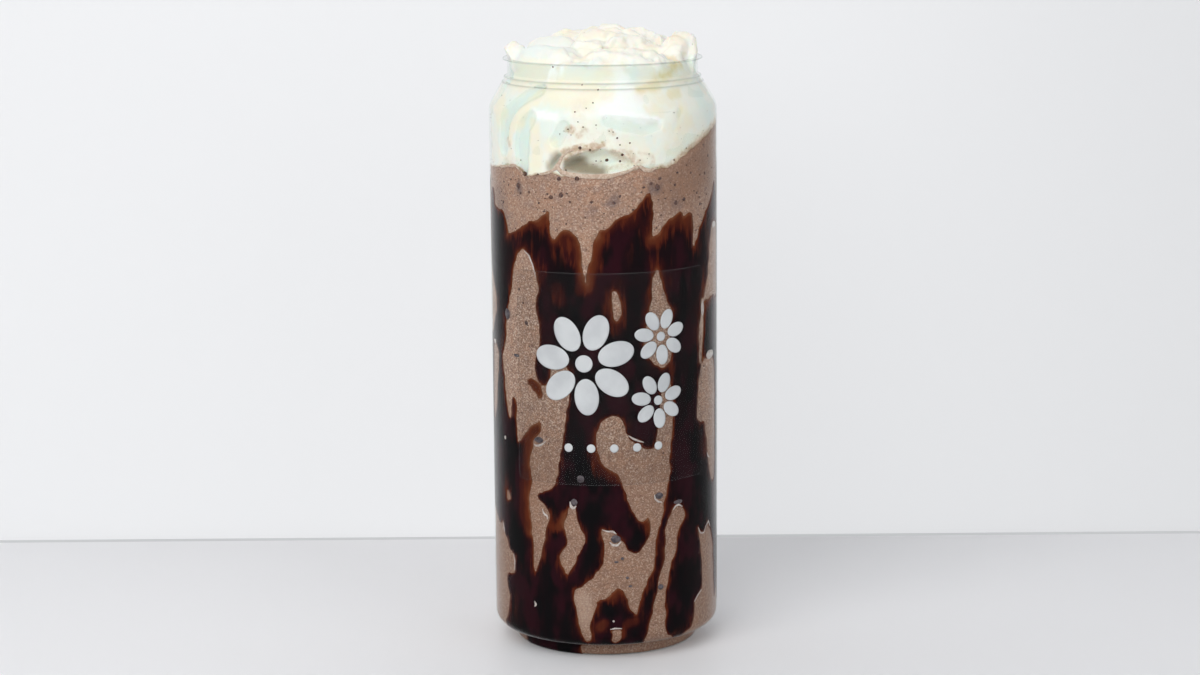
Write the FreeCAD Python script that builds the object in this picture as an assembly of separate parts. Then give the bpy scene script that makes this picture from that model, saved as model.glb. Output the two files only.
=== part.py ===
import FreeCAD
import Part

import math
import os

# A chocolate frappe in a clear plastic can: the blow-moulded can with its stacking foot, domed
# base, shoulder, neck and flange, a clear film label, the drink, and piped whipped cream on top.
# Frame: origin at the centre of the foot, +Z up, the label faces -Y. Millimetres and degrees.

# --- the can ---
CAN_HEIGHT = 182.2           # foot to the top of the flange
BODY_RADIUS = 35.0           # outside of the straight wall
WALL = 0.6
FOOT_RADIUS = 28.9           # outside of the stacking foot
FOOT_WIDTH = 3.4             # radial width of the foot bead
FOOT_HEIGHT = 4.1            # from the table to the groove above the foot
FOOT_ROUND = 1.6
GROOVE_DEPTH = 0.6           # how far the groove above the foot is set in
GROOVE_ROUND = 0.7
DOME_HEIGHT = 6.0            # push-up of the base at its centre
DOME_EDGE_HEIGHT = 1.8
HEEL_RISE = 0.8              # from the groove to the corner under the straight wall
HEEL_ROUND = 3.9
NECK_RADIUS = 29.2           # outside of the neck
NECK_HEIGHT = 5.6            # from the bead to the top of the flange
FLANGE_RADIUS = 30.6
FLANGE_THICKNESS = 0.55
FLANGE_ROUND = 0.2
BEAD_RADIUS = 30.3           # raised ring under the neck
BEAD_HEIGHT = 1.6
BEAD_LEDGE = 0.6             # how far the shoulder starts outside the bead
BEAD_ROUND = 0.25
SHOULDER_ANGLE = 29.7        # slope of the shoulder from the vertical
SHOULDER_ROUND = 6.0

# --- the label ---
LABEL_WIDTH = 65.0           # along the curve of the wall
LABEL_HEIGHT = 65.0
LABEL_BASE = 55.5            # height of its lower edge
LABEL_TURN = 4.3             # how far its middle is turned from the front
LABEL_THICKNESS = 0.12
LABEL_CORNER = 2.0

# --- the drink ---
HEADSPACE = 30.0             # from the top of the flange to the drink's mean level
CENTRE_SINK = 4.0            # how far the cream's weight presses the drink's middle down
# How far the drink climbs the wall over its mean level, by azimuth from the front.
WALL_LEVELS = (
    (-150, -2.0),
    (-110, -4.2),
    (-80, -3.2),
    (-52, -0.9),
    (-37, -3.0),
    (-10, -2.4),
    (12, -1.0),
    (36, -1.3),
    (60, 4.8),
    (80, 9.4),
    (105, 11.0),
    (150, 3.0),
)
LEVEL_GRID = 25              # points along each side of the drink's surface

# --- the air pocket trapped against the wall where cream meets drink ---
POCKET_TURN = -6.5
POCKET_RISE = 2.3            # its centre over the drink's mean level
POCKET_LENGTH = 22.0
POCKET_HEIGHT = 8.6
POCKET_DEPTH = 3.6

# --- the whipped cream ---
CREAM_RIDGES = 8             # ridges the piping nozzle leaves along the rope
RIDGE_DEPTH = 0.11           # of the rope's radius
RIDGE_TWIST = 70.0           # how far the ridges turn along the rope
CREAM_BED = 2.5              # the cream fills the can to this far under the top of the flange
ROPE_SECTIONS = 12
SECTION_POINTS = 4           # for each ridge
# Each rope runs through (turn from the front, distance out, height over the flange, radius).
LOWER_COIL = (
    (165, 15.0, -6.0, 8.0),
    (225, 17.0, -4.0, 10.0),
    (285, 17.4, -4.0, 10.4),
    (345, 16.6, -5.6, 10.6),
    (395, 15.6, -6.2, 9.4),
    (440, 16.0, -6.6, 7.6),
)
UPPER_COIL = (
    (70, 13.0, -5.0, 7.6),
    (130, 9.6, -0.8, 7.6),
    (190, 8.4, 1.6, 7.2),
    (255, 8.2, 2.2, 6.8),
    (320, 8.6, 2.4, 5.6),
    (350, 9.6, 3.2, 2.4),
)
RIGHT_CURL = (
    (98, 15.0, -6.0, 8.0),
    (94, 20.0, -2.0, 7.6),
    (88, 23.6, 2.6, 5.0),
    (80, 25.0, 6.2, 2.0),
)
LEFT_PEAK = (
    (-84, 20.0, -6.0, 6.4),
    (-92, 24.2, -1.0, 4.2),
    (-97, 27.0, 5.0, 0.9),
)

ROPES = (LOWER_COIL, UPPER_COIL, RIGHT_CURL, LEFT_PEAK)

FRONT = -90.0                # azimuth of the front, counter-clockwise from +X
AXIS = FreeCAD.Vector(0, 0, 1)
ORIGIN = FreeCAD.Vector(0, 0, 0)

inner_neck = NECK_RADIUS - WALL
drink_level = CAN_HEIGHT - HEADSPACE


def at(radius, height):
    """A point of a turned profile."""
    return FreeCAD.Vector(radius, 0, height)


def around(turn, radius, height):
    """A point at an azimuth measured from the front, positive towards +X."""
    angle = math.radians(FRONT + turn)
    return FreeCAD.Vector(radius * math.cos(angle), radius * math.sin(angle), height)


def line(start, end):
    return Part.LineSegment(start, end).toShape()


def rounded_path(corners):
    """Edges through (radius, height, round) corners, each inner corner rounded by an arc."""
    edges = []
    last = at(*corners[0][:2])
    for i in range(1, len(corners) - 1):
        corner = at(*corners[i][:2])
        back = (at(*corners[i - 1][:2]) - corner).normalize()
        onward = (at(*corners[i + 1][:2]) - corner).normalize()
        half = back.getAngle(onward) / 2
        radius = corners[i][2]
        reach = radius / math.tan(half)
        middle = corner + (back + onward).normalize() * (radius / math.sin(half) - radius)
        edges.append(line(last, corner + back * reach))
        last = corner + onward * reach
        edges.append(Part.Arc(corner + back * reach, middle, last).toShape())
    edges.append(line(last, at(*corners[-1][:2])))
    return edges


def dome_edge(outer_radius):
    """The arc of the domed base, from its centre to its edge."""
    sag = DOME_HEIGHT - DOME_EDGE_HEIGHT
    dome_radius = (outer_radius**2 + sag**2) / (2 * sag)
    half = math.asin(outer_radius / dome_radius) / 2
    drop = dome_radius * (1 - math.cos(half))
    middle = at(dome_radius * math.sin(half), DOME_HEIGHT - drop)
    return Part.Arc(at(0, DOME_HEIGHT), middle, at(outer_radius, DOME_EDGE_HEIGHT)).toShape()


def wall_path():
    """The can's outer face as an open path, from the dome's centre to the top of the neck."""
    dome_radius = FOOT_RADIUS - FOOT_WIDTH - GROOVE_DEPTH
    bead_top = CAN_HEIGHT - NECK_HEIGHT
    shoulder_top = bead_top - BEAD_HEIGHT
    shoulder_start = BEAD_RADIUS + BEAD_LEDGE
    shoulder_drop = (BODY_RADIUS - shoulder_start) / math.tan(math.radians(SHOULDER_ANGLE))
    corners = [
        (dome_radius, DOME_EDGE_HEIGHT, 0),
        (FOOT_RADIUS - FOOT_WIDTH, 0, GROOVE_ROUND),
        (FOOT_RADIUS, 0, FOOT_ROUND),
        (FOOT_RADIUS - GROOVE_DEPTH, FOOT_HEIGHT, GROOVE_ROUND),
        (BODY_RADIUS, FOOT_HEIGHT + HEEL_RISE, HEEL_ROUND),
        (BODY_RADIUS, shoulder_top - shoulder_drop, SHOULDER_ROUND),
        (shoulder_start, shoulder_top, BEAD_ROUND),
        (BEAD_RADIUS, shoulder_top + BEAD_ROUND, BEAD_ROUND),
        (BEAD_RADIUS, bead_top, BEAD_ROUND),
        (NECK_RADIUS, bead_top + BEAD_ROUND, BEAD_ROUND),
        (NECK_RADIUS, CAN_HEIGHT, 0),
    ]
    return Part.Wire([dome_edge(dome_radius)] + rounded_path(corners))


def make_can(path):
    wall = path.makeOffset2D(WALL, 0, True, True, False)
    body = wall.revolve(ORIGIN, AXIS, 360)
    flange = Part.makeCylinder(FLANGE_RADIUS, FLANGE_THICKNESS)
    flange.translate(FreeCAD.Vector(0, 0, CAN_HEIGHT - FLANGE_THICKNESS))
    rim = [e for e in flange.Edges if e.Length > 2 * math.pi * FLANGE_RADIUS - 0.01]
    flange = flange.makeFillet(FLANGE_ROUND, rim)
    bore = Part.makeCylinder(inner_neck, 2 * CAN_HEIGHT)
    return body.fuse(flange.cut(bore)).removeSplitter()


def make_column(path):
    """The can's cavity, carried straight up from the neck to well above the cream."""
    inner = path.makeOffset2D(WALL, 0, False, True, False)
    top = 1.5 * CAN_HEIGHT
    low = at(0, DOME_HEIGHT + WALL)
    closing = [line(at(inner_neck, CAN_HEIGHT), at(inner_neck, top)),
               line(at(inner_neck, top), at(0, top)),
               line(at(0, top), low)]
    profile = Part.Wire(Part.__sortEdges__(inner.Edges + closing))
    return Part.Face(profile).revolve(ORIGIN, AXIS, 360)


def make_label():
    """A film patch wrapped on the straight wall, its corners rounded."""
    span = math.degrees(LABEL_WIDTH / BODY_RADIUS)
    start = Part.makePolygon([
        at(BODY_RADIUS, LABEL_BASE),
        at(BODY_RADIUS + LABEL_THICKNESS, LABEL_BASE),
        at(BODY_RADIUS + LABEL_THICKNESS, LABEL_BASE + LABEL_HEIGHT),
        at(BODY_RADIUS, LABEL_BASE + LABEL_HEIGHT),
        at(BODY_RADIUS, LABEL_BASE),
    ])
    patch = Part.Face(start).revolve(ORIGIN, AXIS, span)
    corners = [e for e in patch.Edges if abs(e.Length - LABEL_THICKNESS) < 1e-4]
    patch = patch.makeFillet(LABEL_CORNER, corners)
    patch.rotate(ORIGIN, AXIS, FRONT + LABEL_TURN - span / 2)
    return patch


def wall_level(turn):
    """The drink's climb at the wall, eased between the given azimuths."""
    marks = list(WALL_LEVELS)
    marks = [(marks[-1][0] - 360, marks[-1][1])] + marks + [(marks[0][0] + 360, marks[0][1])]
    for (low, low_level), (high, high_level) in zip(marks, marks[1:]):
        if low <= turn <= high:
            share = (turn - low) / (high - low)
            share = (1 - math.cos(math.pi * share)) / 2
            return low_level + (high_level - low_level) * share
    return marks[0][1]


def surface_height(x, y):
    share = min(1.2, (x * x + y * y) / BODY_RADIUS**2)
    turn = (math.degrees(math.atan2(y, x)) - FRONT + 180) % 360 - 180
    return drink_level + wall_level(turn) * share - CENTRE_SINK * (1 - share)


def make_under_surface():
    """Everything below the drink's uneven surface."""
    side = BODY_RADIUS * 1.1
    steps = [side * (2 * i / (LEVEL_GRID - 1) - 1) for i in range(LEVEL_GRID)]
    grid = [[FreeCAD.Vector(x, y, surface_height(x, y)) for y in steps] for x in steps]
    surface = Part.BSplineSurface()
    surface.interpolate(grid)
    return surface.toShape().extrude(FreeCAD.Vector(0, 0, -CAN_HEIGHT))


def make_pocket():
    """The air pocket: a flattened bubble half sunk in the drink and half in the cream."""
    bubble = Part.makeSphere(1)
    stretch = FreeCAD.Matrix()
    stretch.scale(POCKET_DEPTH, POCKET_LENGTH / 2, POCKET_HEIGHT / 2)
    bubble = bubble.transformGeometry(stretch)
    bubble.rotate(ORIGIN, AXIS, FRONT + POCKET_TURN)
    centre = around(POCKET_TURN, BODY_RADIUS - WALL, drink_level + POCKET_RISE)
    bubble.translate(centre)
    return bubble


def ridged_section(centre, side, up, radius, turn):
    """A closed outline across the rope, with the ridges of the nozzle."""
    count = CREAM_RIDGES * SECTION_POINTS
    points = []
    for i in range(count):
        angle = 2 * math.pi * i / count
        ridge = math.cos(CREAM_RIDGES * (angle - math.radians(turn)))
        reach = radius * (1 + RIDGE_DEPTH * (ridge - 0.5))
        points.append(centre + side * (reach * math.cos(angle)) + up * (reach * math.sin(angle)))
    curve = Part.BSplineCurve()
    curve.interpolate(Points=points, PeriodicFlag=True)
    return Part.Wire(curve.toShape())


def knot_radius(knots, places, place):
    """The rope's radius at a place on its spine, straight between the knots."""
    j = max(k for k in range(len(knots) - 1) if places[k] <= place + 1e-9)
    share = (place - places[j]) / (places[j + 1] - places[j])
    return knots[j][3] + (knots[j + 1][3] - knots[j][3]) * share


def make_rope(knots):
    """A rope of cream through the given knots, its ridges carried along without twisting."""
    points = [around(turn, out, CAN_HEIGHT + rise) for turn, out, rise, _ in knots]
    spine = Part.BSplineCurve()
    spine.interpolate(points)
    places = [spine.parameter(point) for point in points]
    side = spine.tangent(spine.FirstParameter)[0].cross(AXIS)
    sections = []
    for i in range(ROPE_SECTIONS):
        share = i / (ROPE_SECTIONS - 1)
        place = spine.FirstParameter + (spine.LastParameter - spine.FirstParameter) * share
        tangent = spine.tangent(place)[0]
        side = (side - tangent * side.dot(tangent)).normalize()
        radius = knot_radius(knots, places, place)
        sections.append(ridged_section(spine.value(place), side, side.cross(tangent), radius,
                                       RIDGE_TWIST * share))
    return Part.makeLoft(sections, True, False)


def make_cream(column, under, pocket):
    """The cream that fills the shoulder and neck, and the ropes piped over the mouth."""
    bed = column.common(Part.makeCylinder(BODY_RADIUS, CAN_HEIGHT - CREAM_BED))
    ropes = [make_rope(knots).common(column) for knots in ROPES]
    return bed.fuse(ropes).cut(under).cut(pocket)


def largest(shape):
    return max(shape.Solids, key=lambda solid: solid.Volume)


def main():
    path = wall_path()
    column = make_column(path)
    under = make_under_surface()
    pocket = make_pocket()
    nodes = {
        "can": largest(make_can(path)),
        "label": largest(make_label()),
        "frappe": largest(column.common(under).cut(pocket)),
        "cream": largest(make_cream(column, under, pocket)),
    }
    os.makedirs("parts", exist_ok=True)
    for name, shape in nodes.items():
        print(name, shape.ShapeType, shape.isValid(), round(shape.Volume), shape.BoundBox)
        shape.exportStep("parts/" + name + ".step")


main()
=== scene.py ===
"""A chocolate frappe in a clear can, dressed over its CAD frame.

The can and its film label are clear plastic. The drink and the whipped cream reach just into the
wall. Chocolate sauce lies between the drink and the wall, with small air bubbles and cocoa specks.
Lengths are millimetres until a mesh is finished. Azimuths are degrees from the front, towards +X.
"""

from __future__ import annotations

import logging
import math
import random
from dataclasses import dataclass
from enum import Enum
from typing import Any, Callable, Sequence

import bmesh
import bpy
import numpy as np
from mathutils import Matrix, Vector, noise

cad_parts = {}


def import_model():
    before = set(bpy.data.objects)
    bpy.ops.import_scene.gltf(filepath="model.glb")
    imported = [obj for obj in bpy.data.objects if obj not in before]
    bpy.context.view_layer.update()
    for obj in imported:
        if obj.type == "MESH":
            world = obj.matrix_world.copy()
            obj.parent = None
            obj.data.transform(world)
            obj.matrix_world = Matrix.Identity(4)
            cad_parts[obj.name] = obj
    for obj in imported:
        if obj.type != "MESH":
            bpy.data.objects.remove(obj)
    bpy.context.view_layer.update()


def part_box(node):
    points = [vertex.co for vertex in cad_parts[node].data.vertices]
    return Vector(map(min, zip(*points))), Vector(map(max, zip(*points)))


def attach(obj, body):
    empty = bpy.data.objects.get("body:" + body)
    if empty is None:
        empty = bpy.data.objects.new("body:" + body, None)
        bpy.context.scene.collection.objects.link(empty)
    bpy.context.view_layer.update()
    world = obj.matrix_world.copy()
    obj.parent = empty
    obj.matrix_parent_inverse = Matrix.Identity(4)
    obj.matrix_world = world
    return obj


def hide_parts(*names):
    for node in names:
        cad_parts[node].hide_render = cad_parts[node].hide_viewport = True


LOG = logging.getLogger("frappe")
MM = 0.001
GIRTH = 2 * math.pi * 35.0  # The length round the wall on which its noise repeats.
ROOT = "root"

Array = np.ndarray
Mesh = bmesh.types.BMesh
Piece = bpy.types.Object
Material = bpy.types.Material
Node = bpy.types.Node
Socket = bpy.types.NodeSocket
Colour = tuple[float, float, float, float]
Point = tuple[float, float]
Points = tuple[Point, ...]
Spots = tuple[tuple[float, float, float], ...]
Outline = tuple[float, ...]  # Azimuth and way along the wall of each corner, in turn.
Line = tuple[float, ...]  # Azimuth, way along the wall and half width of each point, in turn.
Soft = tuple[tuple[Line, float, float], ...]
Ovals = tuple[tuple[float, float, float, float], ...]
Level = Callable[[Array, Array], Array]


def paint(red: int, green: int, blue: int) -> Colour:
    """Turns a colour as it looks, 0 to 255, into the linear colour that shaders take.

    Args:
        red: Red share.
        green: Green share.
        blue: Blue share.

    Returns:
        The linear colour with full alpha.
    """
    shares = [value / 255 for value in (red, green, blue)]
    linear = [s / 12.92 if s <= 0.04045 else ((s + 0.055) / 1.055) ** 2.4 for s in shares]
    return (linear[0], linear[1], linear[2], 1.0)


def ease(share: float) -> float:
    """Eases a share from 0 to 1 with flat ends."""
    share = min(1.0, max(0.0, share))
    return share * share * (3 - 2 * share)


def eased_knots(knots: Sequence[Point], turn: float) -> float:
    """Reads a ring of knots round the can, eased between neighbours.

    Args:
        knots: Azimuth and value, in rising order.
        turn: Azimuth to read at.

    Returns:
        The value there.
    """
    turn = (turn + 180) % 360 - 180
    ring = [(knots[-1][0] - 360, knots[-1][1]), *knots, (knots[0][0] + 360, knots[0][1])]
    for (low, low_value), (high, high_value) in zip(ring, ring[1:]):
        if low <= turn <= high:
            return low_value + (high_value - low_value) * ease((turn - low) / (high - low))
    return knots[0][1]


# --- shaders ---


class Ray(Enum):
    """The kinds of ray that a Light Path node tells apart."""

    CAMERA = "Is Camera Ray"
    SHADOW = "Is Shadow Ray"
    DIFFUSE = "Is Diffuse Ray"
    GLOSSY = "Is Glossy Ray"
    TRANSMISSION = "Is Transmission Ray"


SEEING = (Ray.CAMERA, Ray.GLOSSY, Ray.TRANSMISSION)


class Signal:
    """A number on a shader socket, with arithmetic that adds Math nodes."""

    def __init__(self, desk: "NodeDesk", socket: Socket) -> None:
        """Keeps the node desk and the socket that carries the number."""
        self.desk = desk
        self.socket = socket

    def _math(self, operation: str, first: Any, second: Any = None) -> "Signal":
        """Adds one Math node.

        Args:
            operation: The Math node's operation.
            first: First operand.
            second: Second operand, if the operation takes one.

        Returns:
            The node's result.
        """
        values = {0: first} if second is None else {0: first, 1: second}
        node = self.desk.node("ShaderNodeMath", {"operation": operation}, values)
        return Signal(self.desk, node.outputs[0])

    def __add__(self, other: Any) -> "Signal":
        """Adds."""
        return self._math("ADD", self, other)

    def __radd__(self, other: Any) -> "Signal":
        """Adds from the right."""
        return self._math("ADD", other, self)

    def __sub__(self, other: Any) -> "Signal":
        """Subtracts."""
        return self._math("SUBTRACT", self, other)

    def __rsub__(self, other: Any) -> "Signal":
        """Subtracts from the right."""
        return self._math("SUBTRACT", other, self)

    def __mul__(self, other: Any) -> "Signal":
        """Multiplies."""
        return self._math("MULTIPLY", self, other)

    def __rmul__(self, other: Any) -> "Signal":
        """Multiplies from the right."""
        return self._math("MULTIPLY", other, self)

    def above(self, low: float, high: float) -> "Signal":
        """Eases from 0 at low to 1 at high."""
        node = self.desk.node("ShaderNodeMapRange", {"interpolation_type": "SMOOTHSTEP",
                                                     "clamp": True},
                              {"Value": self, "From Min": low, "From Max": high})
        return Signal(self.desk, node.outputs[0])

    def larger(self, other: Any) -> "Signal":
        """Takes the larger of two numbers."""
        return self._math("MAXIMUM", self, other)


class NodeDesk:
    """Builds the node tree of one material, or of the world."""

    def __init__(self, name: str, world: bpy.types.World | None = None) -> None:
        """Starts an empty tree.

        Args:
            name: The new material's name.
            world: The world to work on, in place of a material.
        """
        self.owner = world or bpy.data.materials.new(name)
        self.owner.use_nodes = True
        self.tree = self.owner.node_tree
        self.tree.nodes.clear()
        self._place: Socket | None = None

    def node(self, kind: str, settings: dict[str, Any], inputs: dict[Any, Any]) -> Node:
        """Adds a node.

        Args:
            kind: The node's type.
            settings: Properties, set first.
            inputs: Values, sockets or signals by socket name or number.

        Returns:
            The node.
        """
        node = self.tree.nodes.new(kind)
        for key, value in settings.items():
            setattr(node, key, value)
        for key, value in inputs.items():
            socket = node.inputs[key]
            if isinstance(value, Signal):
                value = value.socket
            if isinstance(value, Socket):
                self.tree.links.new(value, socket)
            else:
                socket.default_value = value
        return node

    def place(self) -> Socket:
        """Gives the piece's own coordinates in metres.

        Returns:
            The vector socket.
        """
        if self._place is None:
            self._place = self.node("ShaderNodeTexCoord", {}, {}).outputs["Object"]
        return self._place

    def axis(self, number: int) -> Signal:
        """Gives one of the piece's own coordinates in metres."""
        split = self.node("ShaderNodeSeparateXYZ", {}, {0: self.place()})
        return Signal(self, split.outputs[number])

    def rays(self, *kinds: Ray) -> Signal:
        """Tells rays of some kinds from all others.

        Args:
            kinds: The kinds of ray.

        Returns:
            1 on such a ray, and 0 on any other.
        """
        path = self.node("ShaderNodeLightPath", {}, {})
        found = [Signal(self, path.outputs[kind.value]) for kind in kinds]
        seen = found[0]
        for other in found[1:]:
            seen = seen.larger(other)
        return seen

    def stretched(self, scale: tuple[float, ...], turn: tuple[float, ...]) -> Socket:
        """Gives the coordinates scaled and turned by a Mapping node.

        Args:
            scale: Scale along each axis.
            turn: Rotation in degrees about each axis.

        Returns:
            The vector socket.
        """
        inputs = {"Vector": self.place(), "Scale": scale,
                  "Rotation": tuple(math.radians(angle) for angle in turn)}
        return self.node("ShaderNodeMapping", {}, inputs).outputs[0]

    def clouds(self, size: float, detail: float = 2.0, vector: Any = None) -> Signal:
        """Adds a noise texture.

        Args:
            size: Rough size of its blotches, in millimetres.
            detail: Levels of detail.
            vector: Coordinates, or none for the piece's own.

        Returns:
            The noise, about 0 to 1.
        """
        inputs = {"Vector": vector or self.place(), "Scale": 1 / (size * MM), "Detail": detail,
                  "Roughness": 0.55}
        node = self.node("ShaderNodeTexNoise", {"noise_dimensions": "3D"}, inputs)
        return Signal(self, node.outputs["Fac"])

    def cells(self, size: float) -> Node:
        """Adds a Voronoi texture with cells of a size in millimetres."""
        inputs = {"Vector": self.place(), "Scale": 1 / (size * MM), "Randomness": 1.0}
        return self.node("ShaderNodeTexVoronoi", {"feature": "F1"}, inputs)

    def mark(self, name: str) -> Signal:
        """Reads a number stored on the mesh."""
        node = self.node("ShaderNodeAttribute", {"attribute_name": name}, {})
        return Signal(self, node.outputs["Fac"])

    def ramp(self, factor: Signal, stops: Sequence[tuple[float, Colour]]) -> Socket:
        """Adds a colour ramp.

        Args:
            factor: The number that reads it.
            stops: Places and colours.

        Returns:
            The colour socket.
        """
        node = self.node("ShaderNodeValToRGB", {}, {"Fac": factor})
        band = node.color_ramp
        while len(band.elements) < len(stops):
            band.elements.new(1.0)
        for element, (place, colour) in zip(band.elements, stops):
            element.position = place
            element.color = colour
        return node.outputs["Color"]

    def blend(self, factor: Any, low: Any, high: Any) -> Socket:
        """Blends two colours.

        Args:
            factor: Share of the second.
            low: First colour.
            high: Second colour.

        Returns:
            The blended colour socket.
        """
        settings = {"data_type": "RGBA", "clamp_factor": True}
        node = self.node("ShaderNodeMix", settings, {"Factor": factor, 6: low, 7: high})
        return node.outputs[2]

    def layered(self, colour: Any, *layers: tuple[Any, Any]) -> Socket:
        """Lays colours over each other.

        Args:
            colour: The lowest colour.
            layers: Share and colour of each layer, from the lowest up.

        Returns:
            The blended colour socket.
        """
        for share, over in layers:
            colour = self.blend(share, colour, over)
        return colour

    def relief(self, height: Signal, depth: float, strength: float) -> Socket:
        """Turns a height into a bumped normal.

        Args:
            height: The height, 0 to 1.
            depth: Its depth in millimetres.
            strength: Strength of the bump.

        Returns:
            The normal socket.
        """
        inputs = {"Height": height, "Distance": depth * MM, "Strength": strength}
        return self.node("ShaderNodeBump", {}, inputs).outputs[0]

    def skin(self, **inputs: Any) -> Node:
        """Adds a Principled shader; underscores in the names stand for spaces."""
        named = {key.replace("_", " "): value for key, value in inputs.items()}
        return self.node("ShaderNodeBsdfPrincipled", {}, named)

    def mixed(self, share: Any, first: Node, second: Node) -> Node:
        """Mixes two shaders by the share of the second."""
        inputs = {0: share, 1: first.outputs[0], 2: second.outputs[0]}
        return self.node("ShaderNodeMixShader", {}, inputs)

    def finish(self, shader: Node) -> Any:
        """Connects the shader to the output, and gives the material or the world."""
        kind = "World" if isinstance(self.owner, bpy.types.World) else "Material"
        self.node(f"ShaderNodeOutput{kind}", {}, {"Surface": shader.outputs[0]})
        return self.owner


@dataclass(frozen=True)
class ClearPlastic:
    """Clear glossy plastic that lets the lamps through, with painted shade lines at its edges."""

    name: str = "clear_plastic"
    tint: Colour = paint(250, 252, 251)
    # Grey of the painted shade lines along the bead and rim edges.
    edge_shade_tint: Colour = paint(224, 227, 225)
    edges: tuple[float, ...] = (175.0, 176.6, 182.0)
    edge_width: float = 0.32
    roughness: float = 0.22
    rim_gloss: float = 0.4
    slant_from: float = 0.42

    def material(self) -> Material:
        """Builds the material.

        Returns:
            The material.
        """
        desk = NodeDesk(self.name)
        height = desk.axis(2)
        edge: Any = 0.0
        for line in self.edges:
            near = (height - line * MM).larger((line * MM) - height)
            edge = (1 - near.above(0.0, self.edge_width * MM)).larger(edge)
        # Painted shade: the clear tint turns grey in thin lines at the bead and rim.
        tint = desk.blend(edge, self.tint, self.edge_shade_tint)
        clear = desk.node("ShaderNodeBsdfTransparent", {}, {"Color": tint})
        glossy = desk.node("ShaderNodeBsdfGlossy", {}, {"Color": paint(255, 255, 255),
                                                        "Roughness": self.roughness})
        weight = desk.node("ShaderNodeLayerWeight", {}, {"Blend": 0.5})
        slant = Signal(desk, weight.outputs["Facing"]).above(self.slant_from, 1.0)
        lit = desk.rays(Ray.SHADOW, Ray.DIFFUSE)
        share = slant * slant * self.rim_gloss * (1 - lit)
        return desk.finish(desk.mixed(share, clear, glossy))


@dataclass(frozen=True)
class ClearFilm:
    """Thin clear film with a faint haze."""

    name: str = "clear_film"
    haze: Colour = paint(190, 195, 195)
    cover: float = 0.004
    rim: float = 0.035

    def material(self) -> Material:
        """Builds the material.

        Returns:
            The material.
        """
        desk = NodeDesk(self.name)
        grain = desk.clouds(0.5, 3.0)
        film = desk.skin(Base_Color=self.haze, Roughness=0.3, Specular_IOR_Level=0.2)
        clear = desk.node("ShaderNodeBsdfTransparent", {}, {"Color": paint(250, 250, 250)})
        rim = 1 - desk.mark("level").above(0.05, 0.4)
        share = grain * (2 * self.cover) + rim * self.rim
        return desk.finish(desk.mixed(share, clear, film))


@dataclass(frozen=True)
class DrinkFinish:
    """Chocolate frappe: light brown, with fine bubbles, dark grains, soft smudges and painted
    shade.
    """

    name: str = "chocolate_frappe"
    body: Colour = paint(158, 124, 106)
    warm: Colour = paint(168, 127, 104)
    pale: Colour = paint(204, 180, 164)
    grey: Colour = paint(144, 118, 108)
    dark: Colour = paint(122, 92, 78)
    smudge: Colour = paint(84, 74, 80)
    grain: Colour = paint(92, 62, 52)
    # Colour of the painted shade: darker drink on the right side and near the foot.
    drink_shade: Colour = paint(126, 92, 74)

    def material(self) -> Material:
        """Builds the material.

        Returns:
            The material.
        """
        desk = NodeDesk(self.name)
        height = desk.axis(2)
        low, bottom = 1 - height.above(0.100, 0.140), 1 - height.above(0.050, 0.085)
        broad, middle, fine = desk.clouds(9.0, 2.0), desk.clouds(2.4, 3.0), desk.clouds(0.9, 3.0)
        light = desk.clouds(0.7, 2.0, desk.stretched((1.0, 1.0, 1.3), (20, 30, 10)))
        tan = desk.clouds(3.4, 2.0, desk.stretched((1.0, 1.0, 0.8), (0, 40, 20)))
        grit = desk.clouds(0.42, 2.0)
        ring = Signal(desk, desk.cells(1.2).outputs["Distance"])
        froth = (1 - ring.above(0.10, 0.30)) * desk.clouds(2.0, 1.0).above(0.46, 0.60)
        dot = Signal(desk, desk.cells(1.5).outputs["Distance"])
        grains = (1 - dot.above(0.08, 0.26)) * desk.clouds(2.6, 1.0).above(0.44, 0.56)
        colour = desk.layered(
            self.body,
            (broad.above(0.44, 0.66) * 0.7, self.warm),
            (middle.above(0.48, 0.66) * 0.7, self.grey),
            ((1 - fine.above(0.36, 0.50)) * (0.6 + 0.3 * low), self.dark),
            (light.above(0.54, 0.66) * (0.55 + 0.4 * low), self.pale),
            (tan.above(0.52, 0.66) * low * 0.7, self.warm),
            ((1 - grit.above(0.40, 0.50)) * (0.25 + 0.45 * low), self.dark),
            (grit.above(0.56, 0.66) * (0.25 + 0.55 * low), self.pale),
            (froth * (0.6 + 0.35 * low), self.pale),
            (grains * (0.65 + 0.2 * low), self.grain),
            # Painted shade: the marked places and the foot are darker.
            (desk.mark("drink_shade"), self.drink_shade),
            (bottom * 0.5, self.drink_shade),
            (desk.mark("milky"), self.pale),
            (desk.mark("smudge") * (0.6 + 0.8 * desk.clouds(1.2, 2.0)), self.smudge),
        )
        bump = desk.relief(froth - grains, 0.12, 0.5)
        skin = desk.skin(Base_Color=colour, Roughness=0.45, Normal=bump, Specular_IOR_Level=0.25)
        return desk.finish(skin)


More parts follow.
